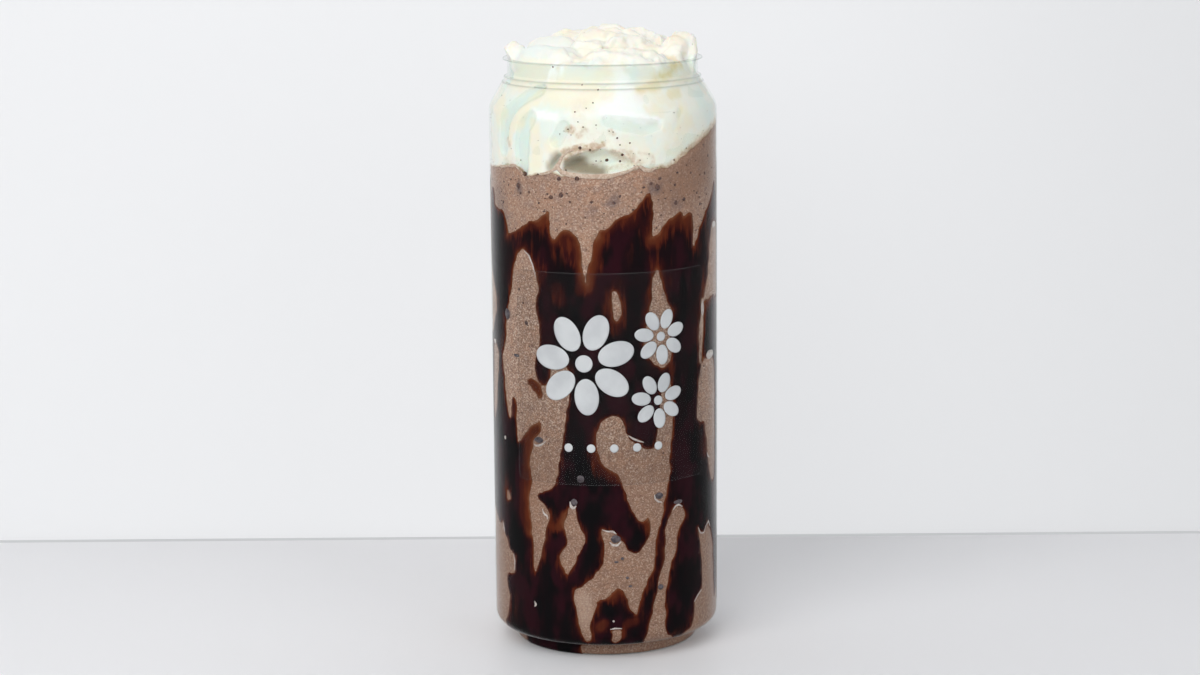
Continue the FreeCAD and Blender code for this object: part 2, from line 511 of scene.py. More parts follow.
@dataclass(frozen=True)
class SauceFinish:
    """Chocolate sauce: near black where thick, through red brown to amber at its thin edges."""

    name: str = "chocolate_sauce"
    stops: tuple[tuple[float, Colour], ...] = (
        (0.0, paint(118, 74, 52)),
        (0.08, paint(92, 44, 26)),
        (0.20, paint(66, 26, 18)),
        (0.36, paint(44, 15, 15)),
        (0.55, paint(26, 11, 15)),
        (1.0, paint(14, 12, 14)),
    )
    wine: Colour = paint(52, 16, 26)
    amber: Colour = paint(94, 40, 22)

    def material(self) -> Material:
        """Builds the material.

        Returns:
            The material.
        """
        desk = NodeDesk(self.name)
        depth = desk.mark("depth")
        streaks = desk.clouds(3.0, 3.0, desk.stretched((1.0, 1.0, 0.22), (0, 10, 0)))
        fine = desk.clouds(1.0, 3.0, desk.stretched((1.0, 1.0, 0.45), (0, 8, 0)))
        thickness = depth * (0.30 + 1.35 * streaks) + (fine - 0.5) * 0.22 * depth
        patches = desk.clouds(7.0, 2.0, desk.stretched((1.0, 1.0, 0.5), (0, 0, 0)))
        threads = desk.clouds(1.5, 3.0, desk.stretched((1.0, 1.0, 0.18), (0, 6, 0)))
        glow = threads.above(0.50, 0.66) * (1 - depth).above(0.14, 0.7)
        colour = desk.layered(desk.ramp(thickness, self.stops),
                              (patches.above(0.46, 0.62) * depth * 0.55, self.wine),
                              (glow * 0.65, self.amber))
        skin = desk.skin(Base_Color=colour, Roughness=0.35, Specular_IOR_Level=0.03)
        return desk.finish(skin)


@dataclass(frozen=True)
class CreamFinish:
    """Whipped cream: ivory, brown where stained, with painted light on ridges and shade in
    grooves.
    """

    name: str = "whipped_cream"
    ivory: Colour = paint(241, 239, 229)
    warm: Colour = paint(241, 234, 217)
    # Painted light and shade: cool grooves, yellow lit ridges and creases, ochre creases,
    # highlights.
    cool_shade: Colour = paint(228, 237, 233)
    yellow_light_and_shade: Colour = paint(243, 235, 214)
    ochre_crease_shade: Colour = paint(226, 209, 156)
    painted_highlight: Colour = paint(252, 252, 249)
    shade: Colour = paint(140, 122, 100)
    stains: tuple[tuple[float, Colour], ...] = (
        (0.0, paint(242, 235, 222)),
        (0.25, paint(226, 212, 194)),
        (0.50, paint(196, 170, 146)),
        (0.75, paint(158, 136, 116)),
        (1.0, paint(112, 98, 86)),
    )

    def material(self) -> Material:
        """Builds the material.

        Returns:
            The material.
        """
        desk = NodeDesk(self.name)
        broad = desk.clouds(6.0, 3.0)
        other = desk.clouds(7.0, 2.0, desk.stretched((1.0, 1.0, 0.8), (30, 20, 0)))
        patchy = 0.35 + 1.0 * desk.clouds(2.4, 3.0)
        stain = desk.mark("stain") * (0.35 + 1.3 * desk.clouds(1.0, 3.0))
        colour = desk.layered(
            self.ivory,
            (broad.above(0.46, 0.62) * 0.75, self.warm),
            (other.above(0.54, 0.68) * 0.5, self.cool_shade),
            # Painted light and shade from the marks: cool shade, highlight, yellow, ochre and
            # pocket shade.
            (desk.mark("cool_shade") * patchy, self.cool_shade),
            (desk.mark("painted_highlight"), self.painted_highlight),
            (desk.mark("yellow_light_and_shade") * patchy, self.yellow_light_and_shade),
            (desk.mark("ochre_crease_shade") * patchy, self.ochre_crease_shade),
            (stain.above(0.02, 0.45), desk.ramp(stain, self.stains)),
            (desk.mark("shade"), self.shade),
        )
        bump = desk.relief(desk.clouds(0.7, 3.0), 0.10, 0.35)
        skin = desk.skin(Base_Color=colour, Roughness=0.5, Normal=bump, Specular_IOR_Level=0.3,
                         Subsurface_Weight=0.25, Subsurface_Scale=0.0020)
        return desk.finish(skin)


@dataclass(frozen=True)
class PlainFinish:
    """A single finish with a slight mottle, for print, specks, bubbles and glints."""

    name: str
    colour: Colour
    other: Colour
    roughness: float = 0.5
    size: float = 1.0

    def material(self) -> Material:
        """Builds the material.

        Returns:
            The material.
        """
        desk = NodeDesk(self.name)
        mottle = desk.clouds(self.size, 3.0)
        colour = desk.blend(mottle.above(0.35, 0.65), self.colour, self.other)
        skin = desk.skin(Base_Color=colour, Roughness=self.roughness, Specular_IOR_Level=0.3)
        return desk.finish(skin)


@dataclass(frozen=True)
class StudioFinish:
    """The floor or the backdrop: shaded by the lamps, and pale to the camera and in reflections.

    The backdrop may darken towards +X and be clear from behind. The floor is pale far off.
    """

    name: str
    colour: Colour
    glow: Colour
    glow_share: float
    side_shade: float = 0.0
    open_back: bool = False
    side_span: Point = (0.03, 0.24)
    far_span: Point = (0.16, 0.50)

    def material(self) -> Material:
        """Builds the material.

        Returns:
            The material.
        """
        desk = NodeDesk(self.name)
        across, along = desk.axis(0), desk.axis(1)
        shaded = across.above(*self.side_span) * self.side_shade
        colour = desk.blend(shaded, self.colour, paint(0, 0, 0))
        skin = desk.skin(Base_Color=colour, Roughness=0.45, Specular_IOR_Level=0.3)
        pale = desk.blend(shaded, self.glow, paint(0, 0, 0))
        glow = desk.node("ShaderNodeEmission", {}, {"Color": pale, "Strength": 1.0})
        seen = desk.rays(*SEEING)
        share = seen * self.glow_share
        if self.open_back:
            behind = desk.node("ShaderNodeNewGeometry", {}, {}).outputs["Backfacing"]
            clear = desk.node("ShaderNodeBsdfTransparent", {}, {})
            return desk.finish(desk.mixed(behind, desk.mixed(share, skin, glow), clear))
        distant = (across * across + along * along).above(*self.far_span)
        return desk.finish(desk.mixed(share.larger(seen * distant), skin, glow))


# --- meshes ---


def finished(mesh: Mesh, name: str, material: Material) -> Piece:
    """Turns a mesh in millimetres into a finished piece in metres.

    Args:
        mesh: The mesh, freed here.
        name: The piece's name.
        material: Its finish.

    Returns:
        The piece, riding on nothing yet.
    """
    bmesh.ops.scale(mesh, vec=(MM, MM, MM), verts=mesh.verts)
    data = bpy.data.meshes.new(name)
    mesh.to_mesh(data)
    mesh.free()
    data.materials.append(material)
    data.shade_smooth()
    piece = bpy.data.objects.new(name, data)
    bpy.context.scene.collection.objects.link(piece)
    return piece


def store_mark(piece: Piece, name: str, values: Sequence[float]) -> None:
    """Stores one number per vertex on a piece.

    Args:
        piece: The piece.
        name: The attribute's name.
        values: The numbers, in the order of the vertices.
    """
    mark = piece.data.attributes.new(name, "FLOAT", "POINT")
    mark.data.foreach_set("value", np.asarray(values, dtype=np.float32))


def places(piece: Piece) -> Array:
    """Gives a piece's vertices in millimetres.

    Args:
        piece: The piece.

    Returns:
        One row of x, y and z for each vertex.
    """
    spots = np.empty(len(piece.data.vertices) * 3, dtype=np.float64)
    piece.data.vertices.foreach_get("co", spots)
    return spots.reshape(-1, 3) / MM


def turns(spots: Array) -> Array:
    """Gives the azimuth from the front of each place, in degrees."""
    return np.degrees(np.arctan2(spots[:, 0], -spots[:, 1]))


def around(turn: float, radius: float, height: float) -> Vector:
    """Gives a point at an azimuth from the front."""
    angle = math.radians(turn)
    return Vector((radius * math.sin(angle), -radius * math.cos(angle), height))


def spun(section: Sequence[Point], steps: int) -> Mesh:
    """Spins an open outline, or one whose ends lie on the axis, round the can's axis.

    Args:
        section: Radius and height of each point.
        steps: Steps round the axis.

    Returns:
        The turned mesh with its faces pointing out.
    """
    mesh = bmesh.new()
    ring = [mesh.verts.new((radius, 0, height)) for radius, height in section]
    for low, high in zip(ring, ring[1:]):
        mesh.edges.new((low, high))
    bmesh.ops.spin(mesh, geom=mesh.verts[:] + mesh.edges[:], cent=(0, 0, 0), axis=(0, 0, 1),
                   angle=2 * math.pi, steps=steps, use_merge=True)
    bmesh.ops.remove_doubles(mesh, verts=mesh.verts, dist=1e-4)
    bmesh.ops.recalc_face_normals(mesh, faces=mesh.faces)
    return mesh


def relaxed(mesh: Mesh, verts: Sequence[bmesh.types.BMVert]) -> None:
    """Smooths vertices half way, once."""
    bmesh.ops.smooth_vert(mesh, verts=verts, factor=0.5, use_axis_x=True, use_axis_y=True,
                          use_axis_z=True)


# --- the can ---


@dataclass
class CanShape:
    """The can's turned outline. Radii are of its outside."""

    height: float
    body_radius: float
    wall: float = 0.6
    foot_radius: float = 28.9
    foot_width: float = 3.4
    foot_height: float = 4.1
    foot_round: float = 1.6
    groove_depth: float = 0.6
    groove_round: float = 0.7
    dome_height: float = 6.0
    dome_edge_height: float = 1.8
    heel_rise: float = 0.8
    heel_round: float = 3.9
    neck_radius: float = 29.2
    neck_height: float = 5.6
    flange_radius: float = 30.6
    flange_thickness: float = 0.55
    flange_round: float = 0.2
    bead_radius: float = 30.3
    bead_height: float = 1.6
    bead_ledge: float = 0.6
    bead_round: float = 0.25
    shoulder_angle: float = 29.7
    shoulder_round: float = 6.0
    least_round: float = 0.12
    dome_steps: int = 16

    @property
    def scale(self) -> float:
        """Gives the millimetres per degree round the wall."""
        return math.radians(self.body_radius)

    def corners(self) -> list[tuple[float, float, float]]:
        """Gives the outline's corners from the dome's edge to the neck.

        Returns:
            Radius, height and round of each corner.
        """
        bead_top = self.height - self.neck_height
        shoulder_top = bead_top - self.bead_height
        start = self.bead_radius + self.bead_ledge
        drop = (self.body_radius - start) / math.tan(math.radians(self.shoulder_angle))
        round_ = self.bead_round
        return [
            (self.foot_radius - self.foot_width - self.groove_depth, self.dome_edge_height, 0.0),
            (self.foot_radius - self.foot_width, 0.0, self.groove_round),
            (self.foot_radius, 0.0, self.foot_round),
            (self.foot_radius - self.groove_depth, self.foot_height, self.groove_round),
            (self.body_radius, self.foot_height + self.heel_rise, self.heel_round),
            (self.body_radius, shoulder_top - drop, self.shoulder_round),
            (start, shoulder_top, round_),
            (self.bead_radius, shoulder_top + round_, round_),
            (self.bead_radius, bead_top, round_),
            (self.neck_radius, bead_top + round_, round_),
            (self.neck_radius, self.height, 0.0),
        ]

    def dome(self, inset: float, reach: float) -> list[Point]:
        """Gives the domed base as points from the axis outwards.

        Args:
            inset: Distance inside the outer face.
            reach: Radius at which it ends.

        Returns:
            Radius and height of each point but the last.
        """
        sag = self.dome_height - self.dome_edge_height
        edge = self.foot_radius - self.foot_width - self.groove_depth
        radius = (edge**2 + sag**2) / (2 * sag)
        centre = self.dome_height - radius
        span = math.asin(reach / (radius + inset))
        angles = [span * i / self.dome_steps for i in range(self.dome_steps)]
        grown = radius + inset
        return [(grown * math.sin(a), centre + grown * math.cos(a)) for a in angles]

    def outline(self, inset: float) -> list[Point]:
        """Gives the can's outline at a distance inside its outer face.

        Args:
            inset: Distance inside the outer face.

        Returns:
            Radius and height of each point, from the axis to the top of the neck.
        """
        corners = self.corners()
        spots = [Vector(corner[:2]) for corner in corners]
        ways = [(end - start).normalized() for start, end in zip(spots, spots[1:])]
        sides = [Vector((-way.y, way.x)) for way in ways]
        moved = [spots[0] + sides[0] * inset]
        for i in range(1, len(spots) - 1):
            both = sides[i - 1] + sides[i]
            moved.append(spots[i] + both * (inset / (1 + sides[i - 1].dot(sides[i]))))
        moved.append(spots[-1] + sides[-1] * inset)
        points = self.dome(inset, moved[0].x)
        points.append((moved[0].x, moved[0].y))
        for i in range(1, len(spots) - 1):
            bend = ways[i - 1].x * ways[i].y - ways[i - 1].y * ways[i].x
            radius = corners[i][2] - inset if bend > 0 else corners[i][2] + inset
            points += rounded(moved[i], ways[i - 1], ways[i], max(radius, self.least_round))
        points.append((moved[-1].x, moved[-1].y))
        return points

    def section(self) -> list[Point]:
        """Gives the closed section of the wall with its flange.

        Returns:
            Radius and height of each point.
        """
        low = self.height - self.flange_thickness
        outer = self.outline(0.0)[:-1]
        rim = [Vector((self.neck_radius, low)), Vector((self.flange_radius, low)),
               Vector((self.flange_radius, self.height)),
               Vector((self.neck_radius - self.wall, self.height))]
        up, out = Vector((0, 1)), Vector((1, 0))
        ways = [up, out, up, -out, -up]
        for i, spot in enumerate(rim):
            outer += rounded(spot, ways[i], ways[i + 1], self.flange_round)
        return outer + self.outline(self.wall)[:-1][::-1]

    def wall_table(self, inset: float) -> tuple[Array, Array, Array]:
        """Measures the wall along itself, from the foot's underside to the neck.

        Args:
            inset: Distance inside the outer face.

        Returns:
            Way along the wall, equal to the height on the straight wall, with radius and height.
        """
        spots = np.array(self.outline(inset)[self.dome_steps + 2:])
        steps = np.hypot(*np.diff(spots, axis=0).T)
        way = np.concatenate([[0.0], np.cumsum(steps)])
        straight = np.argmax(np.isclose(spots[:, 0], self.body_radius - inset, atol=1e-3))
        way += spots[straight, 1] - way[straight]
        return way, spots[:, 0], spots[:, 1]


def rounded(corner: Vector, back: Vector, onward: Vector, radius: float) -> list[Point]:
    """Rounds one corner of an outline.

    Args:
        corner: The corner.
        back: Direction of the line that arrives.
        onward: Direction of the line that leaves.
        radius: Radius of the round.

    Returns:
        Points along the arc.
    """
    turn = math.atan2(back.x * onward.y - back.y * onward.x, back.dot(onward))
    reach = radius * math.tan(abs(turn) / 2)
    start = corner - back * reach
    side = Vector((-back.y, back.x)) * math.copysign(1, turn)
    centre = start + side * radius
    steps = max(2, math.ceil(abs(turn) / math.radians(12)))
    points = []
    for i in range(steps + 1):
        arm = Matrix.Rotation(turn * i / steps, 2) @ (start - centre)
        points.append((centre.x + arm.x, centre.y + arm.y))
    return points


@dataclass
class Can:
    """The clear can."""

    shape: CanShape
    steps: int = 180

    def build(self) -> Piece:
        """Spins the wall.

        Returns:
            The piece.
        """
        mesh = spun(self.shape.section(), self.steps)
        piece = finished(mesh, "clear_can", ClearPlastic().material())
        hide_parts("can")
        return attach(piece, ROOT)


# --- sheets against the wall ---

@dataclass
class WallSheet:
    """A thin sheet that hugs the wall wherever a level function is above zero."""

    shape: CanShape
    name: str
    level: Level
    inset: float
    cell: float = 0.8
    thickness: float = 0.1
    low: float = -4.0
    high: float = 150.0
    left: float = -180.0
    right: float = 180.0

    def _levels(self, mesh: Mesh) -> Array:
        """Reads the level at each vertex, whose x is arc length and y is way along the wall."""
        flat = np.array([vert.co[:2] for vert in mesh.verts])
        return self.level(flat[:, 0], flat[:, 1])

    def _settle(self, mesh: Mesh) -> None:
        """Moves the rim's vertices onto the level's zero line.

        Args:
            mesh: The flat sheet.
        """
        rim = [vert for vert in mesh.verts if vert.is_boundary]
        step = 0.05
        for _ in range(3):
            spots = np.array([vert.co[:2] for vert in rim])
            here = self.level(spots[:, 0], spots[:, 1])
            slope_x = (self.level(spots[:, 0] + step, spots[:, 1]) - here) / step
            slope_y = (self.level(spots[:, 0], spots[:, 1] + step) - here) / step
            steep = np.maximum(slope_x**2 + slope_y**2, 0.04)
            reach = 0.7 * self.cell
            move_x = np.clip(-here * slope_x / steep, -reach, reach)
            move_y = np.clip(-here * slope_y / steep, -reach, reach)
            for vert, dx, dy in zip(rim, move_x, move_y):
                vert.co.x += dx
                vert.co.y += dy

    def _wrap(self, mesh: Mesh) -> None:
        """Bends the flat sheet onto the wall.

        Args:
            mesh: The flat sheet.
        """
        way, radii, heights = self.shape.wall_table(self.inset)
        flat = np.array([vert.co[:2] for vert in mesh.verts])
        radius = np.interp(flat[:, 1], way, radii)
        height = np.interp(flat[:, 1], way, heights)
        angle = flat[:, 0] / self.shape.body_radius
        for vert, r, a, z in zip(mesh.verts, radius, angle, height):
            vert.co = (r * math.sin(a), -r * math.cos(a), z)

    def build(self, material: Material, mark: str = "") -> Piece:
        """Cuts, settles and wraps the sheet.

        Args:
            material: Its finish.
            mark: Name under which the level is stored, if any.

        Returns:
            The piece.
        """
        span = math.radians(self.right - self.left) * self.shape.body_radius
        tall = self.high - self.low
        mesh = bmesh.new()
        bmesh.ops.create_grid(mesh, x_segments=round(span / self.cell),
                              y_segments=round(tall / self.cell), size=0.5)
        middle = math.radians(self.left + self.right) / 2 * self.shape.body_radius
        bmesh.ops.scale(mesh, vec=(span, tall, 1), verts=mesh.verts)
        bmesh.ops.translate(mesh, vec=(middle, (self.low + self.high) / 2, 0), verts=mesh.verts)
        inside = self._levels(mesh) > 0
        loose = [face for face in mesh.faces
                 if sum(inside[vert.index] for vert in face.verts) < 3]
        bmesh.ops.delete(mesh, geom=loose, context="FACES")
        self._settle(mesh)
        stored = np.maximum(self._levels(mesh), 0.0)
        self._wrap(mesh)
        if not mark:
            bmesh.ops.remove_doubles(mesh, verts=mesh.verts, dist=0.02)
        piece = finished(mesh, self.name, material)
        if mark:
            store_mark(piece, mark, stored)
        return thickened(piece, self.thickness, 1.0)


def thickened(piece: Piece, thickness: float, offset: float) -> Piece:
    """Gives an open piece a thickness.

    Args:
        piece: The piece.
        thickness: Its thickness in millimetres.
        offset: 1 to grow along the faces' normals, or 0 to grow to both sides.

    Returns:
        The same piece.
    """
    shell = piece.modifiers.new("thickness", "SOLIDIFY")
    shell.thickness = thickness * MM
    shell.offset = offset
    return piece


def off_segment(start: Sequence[float], end: Sequence[float], x: Array,
                y: Array) -> tuple[Array, Array]:
    """Measures each place against a straight segment.

    Args:
        start: The segment's start.
        end: The segment's end.
        x: Arc length round the wall.
        y: Way along the wall.

    Returns:
        Distance from the segment, and share of the way along it.
    """
    ax, ay = start[:2]
    ex, ey = end[0] - ax, end[1] - ay
    share = ((x - ax) * ex + (y - ay) * ey) / max(ex * ex + ey * ey, 1e-9)
    share = np.clip(share, 0, 1)
    return np.hypot(x - ax - ex * share, y - ay - ey * share), share


def inside_outline(outline: Outline, scale: float, x: Array, y: Array) -> Array:
    """Gives the level of a closed outline: the distance inside its edge, negative outside.

    Args:
        outline: The outline.
        scale: Millimetres per degree round the wall.
        x: Arc length round the wall.
        y: Way along the wall.

    Returns:
        The level at each place.
    """
    corners = np.array(outline, dtype=float).reshape(-1, 2) * (scale, 1)
    for _ in range(2):
        onward = np.roll(corners, -1, axis=0)
        early, late = 0.8 * corners + 0.2 * onward, 0.2 * corners + 0.8 * onward
        corners = np.stack([early, late], axis=1).reshape(-1, 2)
    nearest = np.full(x.shape, 1e9)
    within = np.zeros(x.shape, dtype=bool)
    for (ax, ay), (bx, by) in zip(corners, np.roll(corners, -1, axis=0)):
        nearest = np.minimum(nearest, off_segment((ax, ay), (bx, by), x, y)[0])
        slope = (y - ay) / (by - ay if abs(by - ay) > 1e-9 else 1e-9)
        within ^= ((ay > y) != (by > y)) & (x < ax + slope * (bx - ax))
    return np.where(within, nearest, -nearest)


def along_line(line: Line, scale: float, x: Array, y: Array) -> Array:
    """Gives the level of a line with a width: the distance inside its edge, negative outside.

    Args:
        line: The line.
        scale: Millimetres per degree round the wall.
        x: Arc length round the wall.
        y: Way along the wall.

    Returns:
        The level at each place.
    """
    spots = np.array(line, dtype=float).reshape(-1, 3) * (scale, 1, 1)
    best = np.full(x.shape, -1e9)
    for start, end in list(zip(spots, spots[1:])) or [(spots[0], spots[0])]:
        away, share = off_segment(start, end, x, y)
        best = np.maximum(best, start[2] + (end[2] - start[2]) * share - away)
    return best


def along_lines(lines: Sequence[Line], scale: float, x: Array, y: Array) -> Array:
    """Joins the levels of several lines."""
    return np.max([along_line(line, scale, x, y) for line in lines], axis=0)


def soft_places(soft: Soft, x: Array, y: Array,
                scale: float) -> Array:
    """Gives how strongly each place lies on soft-edged lines.

    Args:
        soft: Each line with the width of its soft edge and its share.
        x: Arc length round the wall.
        y: Way along the wall.
        scale: Millimetres per degree round the wall.

    Returns:
        The strongest share at each place.
    """
    value = np.zeros(len(x))
    for line, fade, share in soft:
        near = np.clip(1 + along_line(line, scale, x, y) / fade, 0, 1)
        value = np.maximum(value, share * near * near * (3 - 2 * near))
    return value


def wrinkle(x: Array, y: Array, wide: float, tall: float, seed: float) -> Array:
    """Gives smooth noise over the wall, about -1 to 1.

    Args:
        x: Arc length round the wall.
        y: Way along the wall.
        wide: Size of its blotches round the wall.
        tall: Their size along it.
        seed: Shift that picks the pattern.

    Returns:
        The noise at each place.
    """
    count = round(GIRTH / wide)
    table = np.random.default_rng(round(seed * 10)).uniform(-1, 1, (count, 97))
    across, up = x / GIRTH * count, y / tall
    left, low = np.floor(across).astype(int), np.floor(up).astype(int)
    u, v = across - left, up - low
    u, v = u * u * (3 - 2 * u), v * v * (3 - 2 * v)
    near, far = table[left % count], table[(left + 1) % count]
    rows = np.arange(near.shape[0])
    bottom = near[rows, low % 97] * (1 - u) + far[rows, low % 97] * u
    top = near[rows, (low + 1) % 97] * (1 - u) + far[rows, (low + 1) % 97] * u
    return bottom * (1 - v) + top * v


